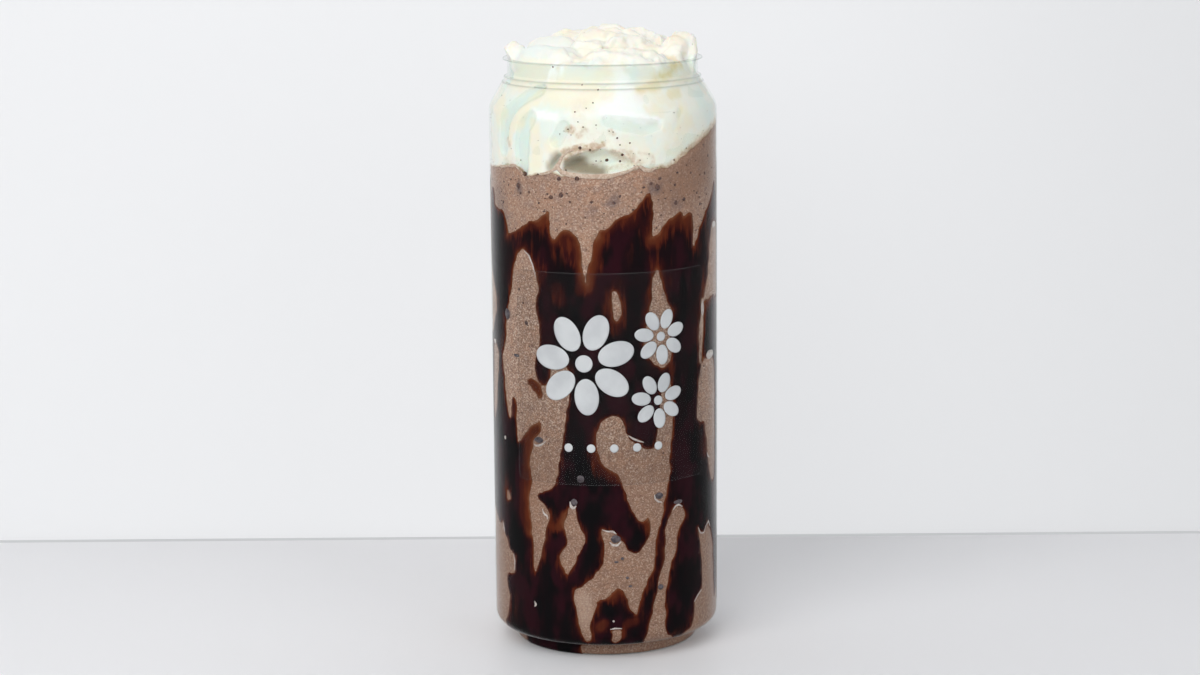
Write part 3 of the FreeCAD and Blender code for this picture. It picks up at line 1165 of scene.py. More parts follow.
@dataclass
class Sauce:
    """Chocolate sauce poured down the inside of the wall, in bands, columns and runs."""

    shape: CanShape
    inset: float = 0.22
    thickness: float = 0.1
    cell: float = 0.75
    ragged: float = 0.42
    windows: tuple[Outline, ...] = (
        # The drink over the band, with the notch between its two lobes.
        (-90, 144.5, -80, 144.3, -74, 143, -72.5, 140.5, -71.5, 138, -67, 137.8, -62, 137.2, -58.7,
         135.5, -56.8, 133, -56.7, 130.6, -57.5, 129.4, -55, 130.6, -51, 131.6, -47, 132.5, -43,
         134.3, -40, 135.3, -37, 135.4, -34, 136.3, -31, 137.9, -28.3, 138.7, -27.8, 137, -28, 134,
         -27.5, 131.5, -26, 130.2, -24, 131, -22.5, 132.5, -20, 133.3, -17, 133.5, -14.5, 132.6,
         -13, 131, -12, 128.5, -11, 125, -10.4, 121.5, -9.3, 116.8, -8.2, 120.5, -7, 124, -5.5,
         128, -4, 131.3, -2.5, 133, -1.2, 134.6, 0, 133.8, 2, 134.3, 4, 135.6, 6, 136.8, 9, 137.8,
         12, 138.2, 15, 139, 17.5, 140.3, 19, 142, 21, 144, 22.8, 145.2, 24.2, 143.5, 24.9, 141,
         25, 138, 24.5, 135.5, 23.8, 132.6, 24.6, 130.8, 27, 131.8, 29, 132.5, 31.5, 133.8, 33.5,
         135.4, 36, 136.3, 39, 137.2, 41.6, 137.9, 43, 136.4, 44.5, 136, 47, 137, 49.7, 137, 50.2,
         135, 50.3, 131, 50.4, 127.5, 51.5, 125.6, 53, 128.5, 55, 131, 57, 133, 60, 134.3, 63, 136,
         67, 138, 71, 141, 74, 144, 78, 145.8, 82, 147, 90, 148, 90, 170, -90, 170),
        # The tall window on the left, with a spike and a limb between its two halves.
        (-48, 125.3, -44.5, 126.8, -41, 125.4, -38.5, 122.5, -36.5, 119.5, -35.4, 116.5, -35.4,
         114, -36.6, 111.5, -36, 107, -34, 103, -35, 98, -37, 94, -37.5, 90, -35.5, 86.5, -31,
         85.5, -28.5, 88, -27.3, 92.5, -24, 94, -20, 92.5, -17.3, 89, -17.6, 84, -19.5, 78, -20.6,
         73.5, -21.8, 70.5, -22.4, 66, -23.6, 62, -25, 58, -26.6, 55, -28.4, 53.3, -32, 52.8, -36,
         52.1, -37.6, 50.8, -35.6, 49.4, -33, 48.2, -31, 47.2, -29, 45.4, -29.6, 43.6, -31.6, 41.4,
         -33, 37, -35, 33, -36.6, 29.6, -38.8, 25.8, -40, 28, -39.6, 33, -39.4, 36.6, -40.8, 38.6,
         -41.2, 42, -42.2, 45, -42.6, 49, -41.4, 53, -40.2, 55.4, -40.4, 57.8, -42, 60, -41.4,
         62.6, -41, 65, -39, 66.6, -37.6, 68.8, -35, 70, -33.4, 71.4, -33.8, 74, -35.2, 74.6,
         -37.5, 73.2, -42, 71.6, -45, 69.4, -48, 67.2, -50.2, 66.2, -50.7, 70, -50.7, 74, -51,
         77.5, -52, 79.8, -53.4, 80.2, -54.5, 79, -55, 76, -56, 73.4, -57.5, 73.8, -59.5, 76.5,
         -60.5, 80, -62, 84, -63.2, 88, -64, 92, -62.6, 95, -60.4, 97.6, -59.5, 101, -58.5, 105,
         -56.5, 109.5, -54.5, 113, -53, 118, -51, 122),
        # The small window beside the centre column.
        (-18.4, 48.4, -19.4, 46.4, -20.8, 44.4, -21.4, 42.4, -20.2, 40.6, -19.9, 37.5, -22, 35,
         -24.2, 33, -23, 31.5, -21.7, 29.5, -20.6, 27, -19, 28.4, -17.5, 30, -15, 32, -13.5, 34,
         -12.5, 36.5, -10.8, 38.5, -11.2, 40, -13, 41.5, -14.5, 43.5, -15.5, 46, -16.2, 49.2),
        # The slivers near the middle of the band.
        (27, 122.4, 28.6, 120, 29.2, 118, 30.6, 115, 33, 110.6, 35.8, 108.6, 35.6, 106, 33, 103,
         34.6, 99, 35.6, 95.5, 33.4, 92, 30, 90.7, 26.5, 91.3, 24, 92.8, 21.6, 95, 20.2, 98, 21,
         103, 22.5, 107, 23.5, 111, 24, 115.5, 25.5, 119),
        (3, 110, 3.6, 114.4, 5.6, 114.8, 7.4, 112, 8, 108, 5.4, 105.6),
        # The light places on the right.
        (72.6, 132, 70, 129, 67.6, 125, 66.8, 121, 65.8, 118, 63.5, 114.5, 61.5, 111.2, 60.2,
         108.6, 66, 109.3, 72, 110, 78, 109, 90, 109, 90, 131),
        (58, 109.6, 60.8, 109.6, 60.5, 103, 59.6, 97, 59, 91, 57, 89, 55.2, 90.5, 55.4, 96, 56.3,
         102, 57, 106),
        (59, 91, 56.5, 88, 55, 83, 54.3, 76, 53.8, 72.3, 57, 71.6, 60.5, 71.5, 62, 68.5, 63.5, 64,
         64.5, 60, 66, 55.5, 69.5, 52.5, 74.5, 50.8, 76.5, 54, 76, 62, 77, 72, 76, 84, 74, 91, 66,
         90.4),
        (54.2, 39, 56.5, 36.6, 60, 36.1, 62.5, 38, 65.2, 39.3, 67.5, 37, 70, 35, 72, 31, 73, 25,
         74, 18, 76, 10, 78, -8, 42, -8, 42, 2, 45, 6.3, 48.5, 7.8, 50.6, 9.5, 50.8, 12, 51, 15.5,
         54, 17, 58, 18.5, 59.2, 20, 58.5, 25, 57.5, 30, 56, 34.5),
        # The wedge between the thin run and the broad one.
        (38.5, 47.6, 36.3, 47, 34.3, 45, 32.4, 42.5, 31, 38.5, 30.8, 35, 30, 30, 28, 26, 26, 21,
         24, 16, 21.6, 11.5, 20.6, 7, 20, 2, 20, -8, 42, -8, 40, 2, 36, 5.9, 33, 6.8, 31.3, 9, 31,
         14, 31.4, 20, 32.4, 25, 34.5, 29, 37.5, 33, 39, 37.5, 40.5, 40.5, 43.6, 42.3, 43.8, 44.6,
         41.6, 46.8),
        # The open drink at the centre, above and below the curl.
        (-4.3, 71.5, -4.5, 68, -3.5, 64, -1, 61.5, 3, 60.5, 6, 59, 8, 57, 10, 54, 12, 50, 14, 45.8,
         16, 44, 19, 43.8, 21.6, 46.2, 23.2, 43, 22.6, 40, 20.5, 37.3, 17.5, 35, 14, 34, 11, 35, 8,
         37.5, 5, 40.8, 1, 41.3, -2.4, 42.6, -2, 39.5, -0.8, 36, -0.5, 33.5, -2, 31, -4, 29, -6,
         27.3, -9, 25.3, -13, 23.6, -15.6, 22.5, -16.6, 19, -15.5, 16, -15, 13, -13.5, 10, -12.6,
         8.4, -10.5, 6.2, -8.4, 6.8, -7.7, 9, -8.5, 12, -7, 14.8, -5.5, 17, -4.3, 18.2, -5.5, 19.9,
         -2, 19.6, 0.5, 20.8, 3, 22, 5.3, 23.4, 8, 22.4, 10, 20.8, 11.5, 18.5, 13.3, 15.8, 15, 13,
         15.6, 14.5, 16.5, 17, 18.5, 21, 21.5, 25, 24.3, 28.3, 25.3, 32, 25.8, 37, 27.7, 41.5,
         29.5, 45, 30.2, 49, 31.8, 51, 33, 55, 34, 60, 34.6, 65, 35.6, 70, 36.5, 75, 36.4, 80, 36,
         84, 34.5, 87, 31, 87.4, 29, 85, 28.7, 80, 28, 74, 27, 70.6, 26, 67.6, 24, 66.2, 19, 67.1,
         15, 68.2, 12, 69.5, 10.8, 72, 8, 76, 3, 77.5, -1, 75.5),
        (1.4, 10.3, 3, 8.5, 2.7, 7, 4, 5.4, 6, 6.5, 7.6, 8.4, 8.2, 10.3, 5, 10.4),
        # The light places on the far left.
        (-90, 43, -78, 41, -70, 38.2, -66, 39.6, -65, 37, -64, 36, -61, 34, -59, 31.5, -57, 31,
         -55, 30.5, -53.8, 29, -54, 26, -54.6, 24.5, -58, 24.2, -61.2, 24, -62.4, 22.3, -61, 20,
         -59.3, 16, -60.5, 12.5, -62, 10, -65, 7.5, -68, 5, -70, -8, -90, -8),
        (-90, 124, -84, 121, -80, 116, -76, 113.5, -72, 110, -71.6, 106, -74, 103, -78, 100.5, -82,
         98, -90, 97),
        (-79, 96, -74, 95.4, -70, 93.8, -69.3, 90, -71, 84, -73, 78, -76, 73, -80, 70, -82, 76,
         -80, 86),
        (-61.5, 50.5, -58, 50, -57.5, 48, -61, 46.6),
        # The gap at the foot.
        (-16.5, 1.6, 20, 1.6, 20, -9, -16, -9),
    )
    front: Outline = (-88, 170, 88, 170, 88, -12, -88, -12)
    front_reach: float = 84.0
    runs: tuple[Line, ...] = (
        (-42.5, 85.8, 0.7, -39.5, 86.3, 1.1, -36.5, 84.6, 1.6, -34.4, 82.6, 0.9),
    )
    thin: Soft = (
        # Places where the sauce is thin enough to look orange brown: a line, its fade and share.
        ((-22, 131.5, 1.5, -17, 130, 2.2, -14, 124, 1.2), 4, 0.62),
        ((-3, 130, 1.2, -6, 122, 1.2, -8, 116, 0.8), 3.2, 0.78),
        ((-12, 122, 0.6, -12.4, 115, 0.5), 2.6, 0.66),
        ((-34, 135, 0.8, -29.5, 137, 0.8), 3, 0.66),
        ((-44, 132.5, 0.3, -37, 134.2, 0.5), 1.8, 0.4),
        ((-38, 127, 1, -30, 124, 2), 6, 0.28),
        ((38, 135.4, 1.2, 48, 134, 1.6), 4.4, 0.62),
        ((24.6, 130, 0.8, 30, 131, 0.8), 3.4, 0.64),
        ((8, 136, 1, 15, 136, 1), 5, 0.36),
        ((13, 128, 1, 14, 120, 1), 3.5, 0.26),
        ((-24.5, 115.5, 1.2, -22.6, 111.6, 0.9), 2.6, 0.62),
        ((5, 117, 1, 5.6, 104, 1.5), 3, 0.5),
        ((27, 119, 1, 23, 108, 1, 21, 98, 1), 2.4, 0.45),
        ((25, 90, 1, 34, 90, 1), 2.6, 0.4),
        ((-44, 59, 1.2, -45, 51, 1.6, -45.4, 44, 2.2, -43, 39.6, 1.2), 2.6, 0.76),
        ((-37, 73, 0.6, -41, 69, 1, -43, 64.5, 1, -43.5, 61, 0.8), 2.6, 0.74),
        ((-35.4, 73, 0.8, -42, 69.6, 0.7), 2.4, 0.6),
        ((-39, 86, 1.2, -35.5, 84, 1.4), 1.8, 0.72),
        ((-53.2, 78, 0.8, -53.6, 75, 0.8), 2, 0.5),
        ((5.3, 22, 0.8, 3, 20.4, 1.4), 2.4, 0.72),
        ((-3, 11.2, 1.2, -1, 12.5, 0.8), 2, 0.8),
        ((10, 12, 0.8, 14, 12.5, 0.8), 1.8, 0.6),
        ((-4, 70, 1, -5, 66, 1.2, -2, 60.5, 1.2, 6, 57.6, 0.8), 3.4, 0.66),
        ((21.4, 44.6, 0.8, 21.6, 41, 0.8), 2.4, 0.66),
        ((28, 40, 0.8, 27.6, 31, 0.8, 22, 23.5, 0.8), 2, 0.34),
        ((-25.4, 41.6, 0.8, -22.6, 43, 1, -21.4, 46, 0.5), 2, 0.86),
        ((-70, 60, 2, -66, 50, 2, -62, 45, 2), 6, 0.3),
        ((-52, 14, 4), 6, 0.2),
        ((60, 112, 1, 61, 108, 1, 69, 108.4, 1), 2.6, 0.55),
        ((58, 72, 1.5, 59, 62, 1), 3, 0.5),
        ((-17, -4, 2, 20, -4, 2, 55, -4, 2), 3, 0.5),
    )

    def _behind(self) -> tuple[list[Line], list[Line]]:
        """Makes the sauce on the far side.

        Returns:
            The band with its runs, and the gaps.
        """
        dice = random.Random(41)
        band = (86, 140, 7, 100, 146, 6, 125, 143, 8, 150, 138, 8, 180, 136, 9, 210, 138, 8,
                240, 141, 7, 270, 138, 7)
        runs, gaps = [band], []
        for turn in range(92, 268, 13):
            line: Line = ()
            side, half = turn + dice.uniform(-4, 4), dice.uniform(3.0, 7.5)
            height, end = 140.0, dice.choice((-4, 12, 34, 60))
            while height > end:
                line += (side, height, half)
                height -= dice.uniform(11, 20)
                side += dice.uniform(-7, 7)
                half = min(8.0, max(1.4, half + dice.uniform(-2.6, 2.2)))
            runs.append((*line, side, end, 1.0))
        for turn in range(98, 262, 20):
            low = dice.uniform(88, 120)
            gaps.append((turn, low, 1.2, turn + dice.uniform(-4, 4), low + 9, 2.6))
        for lines in (runs, gaps):
            lines += [tuple((np.reshape(line, (-1, 3)) - (360, 0, 0)).ravel()) for line in lines]
        return runs, gaps

    def level(self, x: Array, y: Array) -> Array:
        """Takes the windows out of the front, joins the runs behind, and frays the edges.

        Args:
            x: Arc length round the wall.
            y: Way along the wall.

        Returns:
            The sauce's level at each place.
        """
        scale = self.shape.scale
        windows = [inside_outline(window, scale, x, y) for window in self.windows]
        before = np.minimum(inside_outline(self.front, scale, x, y), -np.max(windows, axis=0))
        runs, gaps = (along_lines(lines, scale, x, y) for lines in self._behind())
        behind = np.minimum(np.minimum(runs, -gaps), abs(x) - self.front_reach * scale)
        islands = along_lines(self.runs, scale, x, y)
        fray = self.ragged * (wrinkle(x, y, 2.4, 3.4, 3.0) + 0.6 * wrinkle(x, y, 1.1, 1.5, 8.0))
        return np.max([before, behind, islands], axis=0) + fray

    def build(self) -> Piece:
        """Builds the sauce and marks how thick it looks.

        Returns:
            The piece.
        """
        scale = self.shape.scale
        sheet = WallSheet(self.shape, "chocolate_sauce", self.level, self.inset, self.cell,
                          self.thickness, low=-7.0, high=150.0)
        piece = sheet.build(SauceFinish().material(), "level")
        spots = places(piece)
        levels = np.empty(len(spots), dtype=np.float32)
        piece.data.attributes["level"].data.foreach_get("value", levels)
        way, _, heights = self.shape.wall_table(self.inset)
        x = turns(spots) * scale
        y = np.where(spots[:, 2] > 9, spots[:, 2], np.interp(spots[:, 2], heights[2:], way[2:]))
        lean = soft_places(self.thin, x, y, scale)
        soft = 1.5 + 1.6 * np.clip((y - 96) / 26, 0, 1)
        soft *= 1 + 0.75 * wrinkle(x, y, 5.0, 7.0, 12.0) + 0.35 * wrinkle(x, y, 2.0, 3.0, 13.0)
        soft = np.maximum(soft, 0.35)
        depth = (1 - np.exp(-levels / soft)) * (1 - lean)
        store_mark(piece, "depth", depth)
        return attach(piece, ROOT)


# --- the drink ---


@dataclass
class Drink:
    """The frappe that fills the can, level with the cream above it."""

    shape: CanShape
    mean_level: float
    inset: float = 0.28
    centre_sink: float = 4.0
    levels: Points = (
        (-150, -2), (-110, -4.2), (-80, -2.8), (-65, -2), (-55, -0.9), (-50.2, -0.8), (-47.1,
        -1.9), (-44.2, -2.9), (-41.5, -3.4), (-33.2, -2.7), (-27, -1.9), (-21, -2.6), (-14.2,
        -3.1), (-6.7, -3.3), (3.2, -3.1), (10.6, -2), (15.7, -0.9), (18.3, -0.4), (20.9, -1.3),
        (23.6, -1.7), (26.3, -0.9), (33.3, -0.9), (38.3, 0.3), (45, 2.4), (50.4, 3.9), (57.6,
        5.6), (64.1, 7), (73.4, 8.5), (80, 9.5), (105, 11), (150, 3),
    )
    smudges: Soft = (
        ((-47.2, 145.4, 0.5, -46.6, 144, 0.4), 1.6, 0.7),
        ((-57.6, 106, 1), 2, 0.4),
        ((3.4, 141.4, 0.6, 5.6, 142.6, 0.8), 1.6, 0.5),
        ((-5, 139.4, 0.5), 1.8, 0.4),
        ((24.5, 145.6, 0.6, 28, 145, 0.5), 1.6, 0.55),
        ((37.6, 140.6, 0.5, 40.6, 140, 0.3), 1.6, 0.45),
        ((-60, 134, 1.5, -66, 141, 1.5), 4, 0.25),
    )
    milky: Soft = (
        ((58.6, 99, 0.5, 58.6, 108, 0.5), 0.8, 0.5),
        ((-12, 20, 1, -10, 12, 1), 3, 0.25),
        ((36, 14, 1, 36, 30, 1), 3, 0.15),
    )
    # Painted shade: darker drink on the right side and near the foot.
    drink_shade: Soft = (
        ((34, 146, 3, 50, 149, 4, 66, 152, 5, 84, 150, 6), 8, 0.55),
        ((-30, 12, 3, 10, 14, 3), 6, 0.15),
    )
    top_rings: tuple[float, ...] = (0.985, 0.95, 0.85, 0.7, 0.5, 0.25, 0.0)
    straight_from: float = 14.0
    row: float = 2.0
    tilt_from: float = 110.0
    steps: int = 288

    def top(self, turn: float) -> float:
        """Gives the drink's height at the wall.

        Args:
            turn: Azimuth in degrees.

        Returns:
            The height.
        """
        angle = math.radians(turn)
        ripple = 0.14 * math.sin(37 * angle) + 0.10 * math.sin(61 * angle + 1)
        return self.mean_level + eased_knots(self.levels, turn) + ripple

    def build(self) -> Piece:
        """Spins the fill, tilts its top and marks it.

        Returns:
            The piece.
        """
        wall = [point for point in self.shape.outline(self.inset) if point[1] < self.straight_from]
        radius, level, base = self.shape.body_radius - self.inset, self.mean_level, self.tilt_from
        count = 1 + int((level - self.straight_from) / self.row)
        rows = [(radius, self.straight_from + self.row * i) for i in range(count)]
        rows[-1] = (radius, level)
        top = [(radius * share, level - self.centre_sink * (1 - share**2))
               for share in self.top_rings]
        mesh = spun(wall + rows + top, self.steps)
        for vert in mesh.verts:
            if vert.co.z > base - 1:
                turn = math.degrees(math.atan2(vert.co.x, -vert.co.y))
                reach = math.hypot(vert.co.x, vert.co.y) / radius
                share = (vert.co.z - base) / (level - base)
                vert.co.z += max(share, 0) * (self.top(turn) - level) * reach
        piece = finished(mesh, "chocolate_frappe", DrinkFinish().material())
        self._marks(piece)
        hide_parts("frappe")
        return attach(piece, ROOT)

    def _marks(self, piece: Piece) -> None:
        """Marks the drink's dark smudges, milky places and painted shade.

        Args:
            piece: The drink.
        """
        spots = places(piece)
        scale = self.shape.scale
        x = turns(spots) * scale
        for name, soft in (("smudge", self.smudges), ("milky", self.milky), ("drink_shade", self.drink_shade)):
            store_mark(piece, name, soft_places(soft, x, spots[:, 2], scale))


# --- the cream ---


@dataclass(frozen=True)
class Rope:
    """One piped rope: its line in x, y and z, its radius and its ridges."""

    line: Spots
    radius: float
    ridges: int = 7
    ridge_depth: float = 0.1
    twist: float = 60.0
    tip: float = 0.35


@dataclass
class Cream:
    """The whipped cream: ropes on a bed, pressed against the wall below the rim."""

    shape: CanShape
    drink: Drink
    inset: float = 0.38
    voxel: float = 0.6
    line_steps: int = 9
    bed_low: float = 140.0
    bed_gap: float = 3.5
    bed_top: Points = ((26.6, 181.2), (24, 182), (16, 182), (0, 182))
    bed_steps: int = 128
    ropes: tuple[Rope, ...] = (
        # The smooth lobe and the small peak on the left.
        Rope(((-25, -4, 178.8), (-19, -10, 180.6), (-12.5, -14.5, 180.4), (-6.5, -17.5, 178.6)),
             6.2, 5, 0.05, 40),
        Rope(((-23.5, 3, 180.4), (-18, 0, 182.4), (-12, -2, 182.8), (-6, -4, 181.6)), 5.8, 4, 0.05,
             30),
        Rope(((-22.6, -8, 176), (-25.6, -6, 180.5), (-27.4, -4, 184), (-28.2, -3, 187)), 3.6, 3,
             0.22, 40, 0.1),
        # The middle mound with its lumps.
        Rope(((-10, 3, 179.5), (-3, 1, 181.6), (5, 1, 181.8), (12, 1, 179), (17, 0, 176.8)), 8,
             8, 0.10, 100),
        Rope(((-9, 9, 180.6), (-3.5, 9, 185.2), (3, 9, 186.2), (8, 8, 185)), 4.8, 6, 0.12, 80,
             0.5),
        Rope(((-9, -17, 178), (-1, -19, 179.8), (8, -18.5, 180), (16, -15, 178.6),
              (21, -9, 177)), 6.2, 9, 0.07, 110),
        Rope(((1, -10, 184.6), (5, -8, 186.8), (8, -4, 187)), 3, 5, 0.16, 80, 0.3),
        Rope(((-9, -9, 183), (-5, -11, 185), (1, -12, 184.8)), 3.3, 5, 0.14, 60, 0.3),
        Rope(((10, -8, 182.4), (14, -7, 183.6), (18, -4, 182.6)), 3.2, 5, 0.12, 60, 0.3),
        Rope(((3, -7, 184), (9, -6, 185.4), (14, -3, 184.6)), 3.6, 5, 0.08, 60, 0.3),
        # The curl on the right, and the rope round the back.
        Rope(((26.2, -7, 172), (26.8, -6, 178), (26.9, -4, 183.5), (26.2, -2, 186.8),
              (24.4, 0, 187.9), (22, 1, 186.6), (20.4, 2, 184)), 2.6, 3, 0.06, 40, 0.6),
        Rope(((18, -9, 176), (20.5, -8, 181), (22, -5, 184.6), (22.6, -1, 186.2)), 4, 5, 0.08, 60,
             0.3),
        Rope(((22, 8, 179), (17, 17, 181), (6, 22, 181.5), (-6, 22, 181), (-17, 16, 180),
              (-21, 8, 178.5)), 7.4, 8, 0.10, 150),
        Rope(((-12, 12, 181.6), (-2, 16, 184), (9, 14, 182.2)), 4.2, 6, 0.14, 80, 0.3),
    )
    folds: Soft = (
        ((-37, 174.4, 0.8, -47, 171.8, 1.2, -54, 168.6, 1.4, -59.6, 164.2, 1.4, -61, 156, 1.2),
         1.6, 0.9),
        ((-39, 166.3, 1, -43.8, 163.1, 1.6, -45.4, 158, 1.8, -45, 151, 1.4), 1.8, 0.8),
        ((2, 166.6, 0.1, 10, 165.2, 0.9, 20, 164, 0.9, 28, 164.2, 0.1), 2.2, 0.6),
        ((42, 168.2, 0.3, 40.3, 165.3, 0.4, 38.3, 162.4, 0.2), 1.4, 0.12),
        ((-20, 164, 1, -24, 160, 0.8), 2, 0.5),
        ((-75, 176, 1, -85, 165, 1.6, -88, 152, 1.4), 2.6, 1.5),
        ((80, 178, 1, 92, 170, 1.6, 100, 166, 1), 2.6, 1.4),
        ((120, 176, 0.8, 135, 169, 1.4, 160, 166, 1), 2.2, 1.3),
        ((-110, 174, 0.8, -128, 168, 1.4, -150, 158, 1), 2.2, 1.3),
        ((175, 176, 0.6, 190, 170, 1.2, 196, 160, 0.8), 2, 1.2),
    )
    # Painted light and shade: yellow on lit ridges and in shaded creases.
    yellow_light_and_shade: Soft = (
        ((-60, 177.7, 1.9, -47.4, 178.8, 2.2), 2.5, 0.75),
        ((-29.5, 174.6, 1.9, -15.5, 174.3, 2.5, -2.7, 175.4, 2.5, 3.1, 180, 1.2), 2, 0.85),
        ((-9.6, 172.6, 1.6, -6, 174.3, 1.6), 1.5, 1),
        ((-34.6, 173.4, 0.6, -41, 170.3, 0.9, -47.3, 166.6, 0.9, -52.3, 162.1, 0.9, -55, 159.6,
         0.6), 1, 1),
        ((-69.5, 169, 0.9, -64, 166.9, 1.6, -65.3, 165.1, 0.9), 1.5, 0.9),
        ((-37.8, 164, 0.8, -36.6, 159.2, 1, -36.2, 154.5, 1.1, -36.9, 151, 0.9), 1.2, 1),
        ((-26.7, 158.4, 0.8, -25.6, 157.5, 0.6), 1, 1),
        ((23.6, 168.9, 0.3, 27, 169.3, 0.5), 1, 0.9),
        ((22.1, 174.2, 0.5, 29.7, 173.3, 0.6), 2.2, 0.6),
        ((45.2, 169.6, 0.2, 47.2, 166.2, 0.3, 45.4, 162.7, 0.4, 38.9, 160.6, 0.6), 1, 0.7),
        ((105, 172, 1.4, 122, 168, 1.8, 138, 160, 1.2), 2, 0.8),
        ((-100, 176, 1.4, -118, 170, 1.8, -140, 169, 1), 2, 0.8),
        ((165, 178, 1.6, 188, 174, 2.2, 214, 177, 1.2), 2, 0.7),
    )
    # Painted shade: ochre in creases and along the right of the neck.
    ochre_crease_shade: Soft = (
        ((20.5, 174.3, 0.1, 28.1, 175.5, 0.4, 39.5, 177.8, 0.6, 49.9, 179.5, 0.6, 60.9, 181.6,
         0.5), 1.4, 0.62),
        ((36, 177.6, 0.2, 44.8, 178.8, 0.3, 55.9, 180.6, 0.2), 1, 0.95),
        ((43.2, 168.2, 0.2, 41.3, 165.3, 0.3, 39.3, 162.8, 0.2), 1, 0.4),
        ((40.4, 172.6, 0.7, 45.6, 173.3, 0.5), 1, 0.5),
    )
    # Painted shade: cool in the grooves between folds.
    cool_shade: Soft = (
        ((-36.8, 174.4, 0.9, -47, 171.8, 1.6, -54, 168.6, 1.9, -59.6, 164.2, 1.9, -60.9, 157, 1.6),
         1.2, 0.9),
        ((-39, 166.3, 1.2, -43.8, 163.1, 2.2, -45.4, 158, 2.5, -44.9, 152, 1.9), 1.2, 0.9),
        ((-37.7, 167, 0.6, -30.2, 168.4, 0.6, -21.7, 168, 0.9), 1.2, 0.8),
        ((-28.3, 163.6, 2.4, -20.7, 163.9, 1.9), 2, 0.55),
        ((0.4, 166.6, 0.6, 8.3, 165.2, 1.5, 21, 163.8, 1.3), 2.2, 0.6),
        ((18.9, 180.6, 1.2, 17.6, 177.5, 1.5), 1.2, 0.8),
        ((-13, 180.6, 1.2, -5.2, 179.8, 1.2), 1.6, 0.6),
        ((-80, 181, 1, -78, 175.8, 1.2), 1.4, 0.9),
        ((78, 181, 1, 75.8, 176.6, 1), 1.4, 0.9),
        ((63.9, 169.5, 1.2, 69.8, 165.9, 1.4, 73.4, 162, 0.9), 2.4, 0.8),
        ((-21.8, 160.3, 1, -26.1, 161.7, 1.2), 1.6, 0.5),
        ((130, 178, 1.2, 145, 172, 2, 165, 166, 1.6), 2, 0.8),
        ((-95, 168, 1.6, -108, 162, 2, -118, 154, 1.6), 2, 0.8),
    )
    # Painted highlights.
    painted_highlight: Soft = (
        ((-34.5, 181, 0.8, -33.1, 178.2, 1.4), 0.8, 1),
        ((-28, 180.6, 0.5, -26.6, 178.4, 0.8), 0.6, 1),
        ((-36.5, 167.3, 0.3, -29.9, 167.2, 0.5, -23.8, 166.8, 0.3), 1, 0.8),
        ((0, 168.9, 0.6, 8.3, 167.5, 0.8, 18.4, 166.4, 0.6, 28.1, 165.9, 0.3), 0.9, 1),
        ((2, 172.8, 2.4, 16, 171, 2.6), 3, 0.8),
        ((8, 180, 1.2, 12, 178, 1.4), 1.4, 0.8),
    )
    stains: Soft = (
        ((-11.9, 170.4, 1.2, -13.4, 167.8, 1.2, -12.4, 165.2, 1.6), 2.6, 0.16),
        ((-18.5, 163.9, 0.2, -15.5, 163.4, 0.5), 1.5, 0.36),
        ((-12.5, 161.9, 0.4, -9.4, 163.1, 0.3), 1.6, 0.32),
        ((2.4, 163.1, 0.4, 4.3, 162.2, 0.2), 1.4, 0.3),
        ((-16.5, 160.4, 1.2, -1.6, 161, 1.5, 10.7, 159.4, 1.2), 3.6, 0.16),
        ((-59.9, 159.3, 0.6, -56, 158, 0.6), 1.6, 0.3),
        ((-19.4, 156.8, 0.3, -11.5, 157.8, 0.4, -3.6, 158.6, 0.6, 0.2, 158.2, 0.3), 1.4, 0.46),
        ((6, 157.2, 0.4, 11.2, 155.6, 0.7, 17.3, 153.2, 0.5), 2, 0.32),
        ((17.8, 156.6, 0.2, 22.5, 156.3, 0.2, 25, 153.6, 0.2, 24, 151.8, 0.6), 1.2, 0.26),
        ((-58.1, 153, 0.4, -48.8, 152.6, 0.2), 1.6, 0.2),
        ((-19.4, 154.4, 0.4, -13, 156.4, 0.3), 1.2, 0.42),
        ((3, 151.2, 0.3, 12, 152, 0.3), 1.2, 0.26),
        ((10, 154.2, 0.6, 14.6, 153.2, 0.6), 2, 0.28),
    )
    shade: Soft = (
        ((-18.6, 152.2, 0.2, -14, 152.6, 0.7, -9, 152, 0.5, 0, 151.2, 0.1), 3, 0.85),
        ((-22.8, 155.6, 0.2, -25.4, 153.6, 0.5, -26.8, 152, 0.3), 2.2, 0.62),
    )
    pocket: Outline = (
        -20.9, 152.5, -19.2, 154.4, -15.6, 155.6, -10.5, 156.9, -5.6, 157.5, 0.3, 157.8, 5.2,
        157.2, 10.2, 155.9, 14.2, 154.3, 16.2, 152.8, 13.2, 151.7, 7.2, 150.9, 0.2, 150.6, -6.6,
        150.6, -13.1, 150.9, -18.2, 151.7)
    notch: Outline = (
        -22.4, 156.4, -24, 155.8, -26.8, 154.2, -27.9, 152.4, -27.4, 151.2, -25.2, 151.8, -23,
        153.4, -21.3, 155.2, -20.8, 156.4)
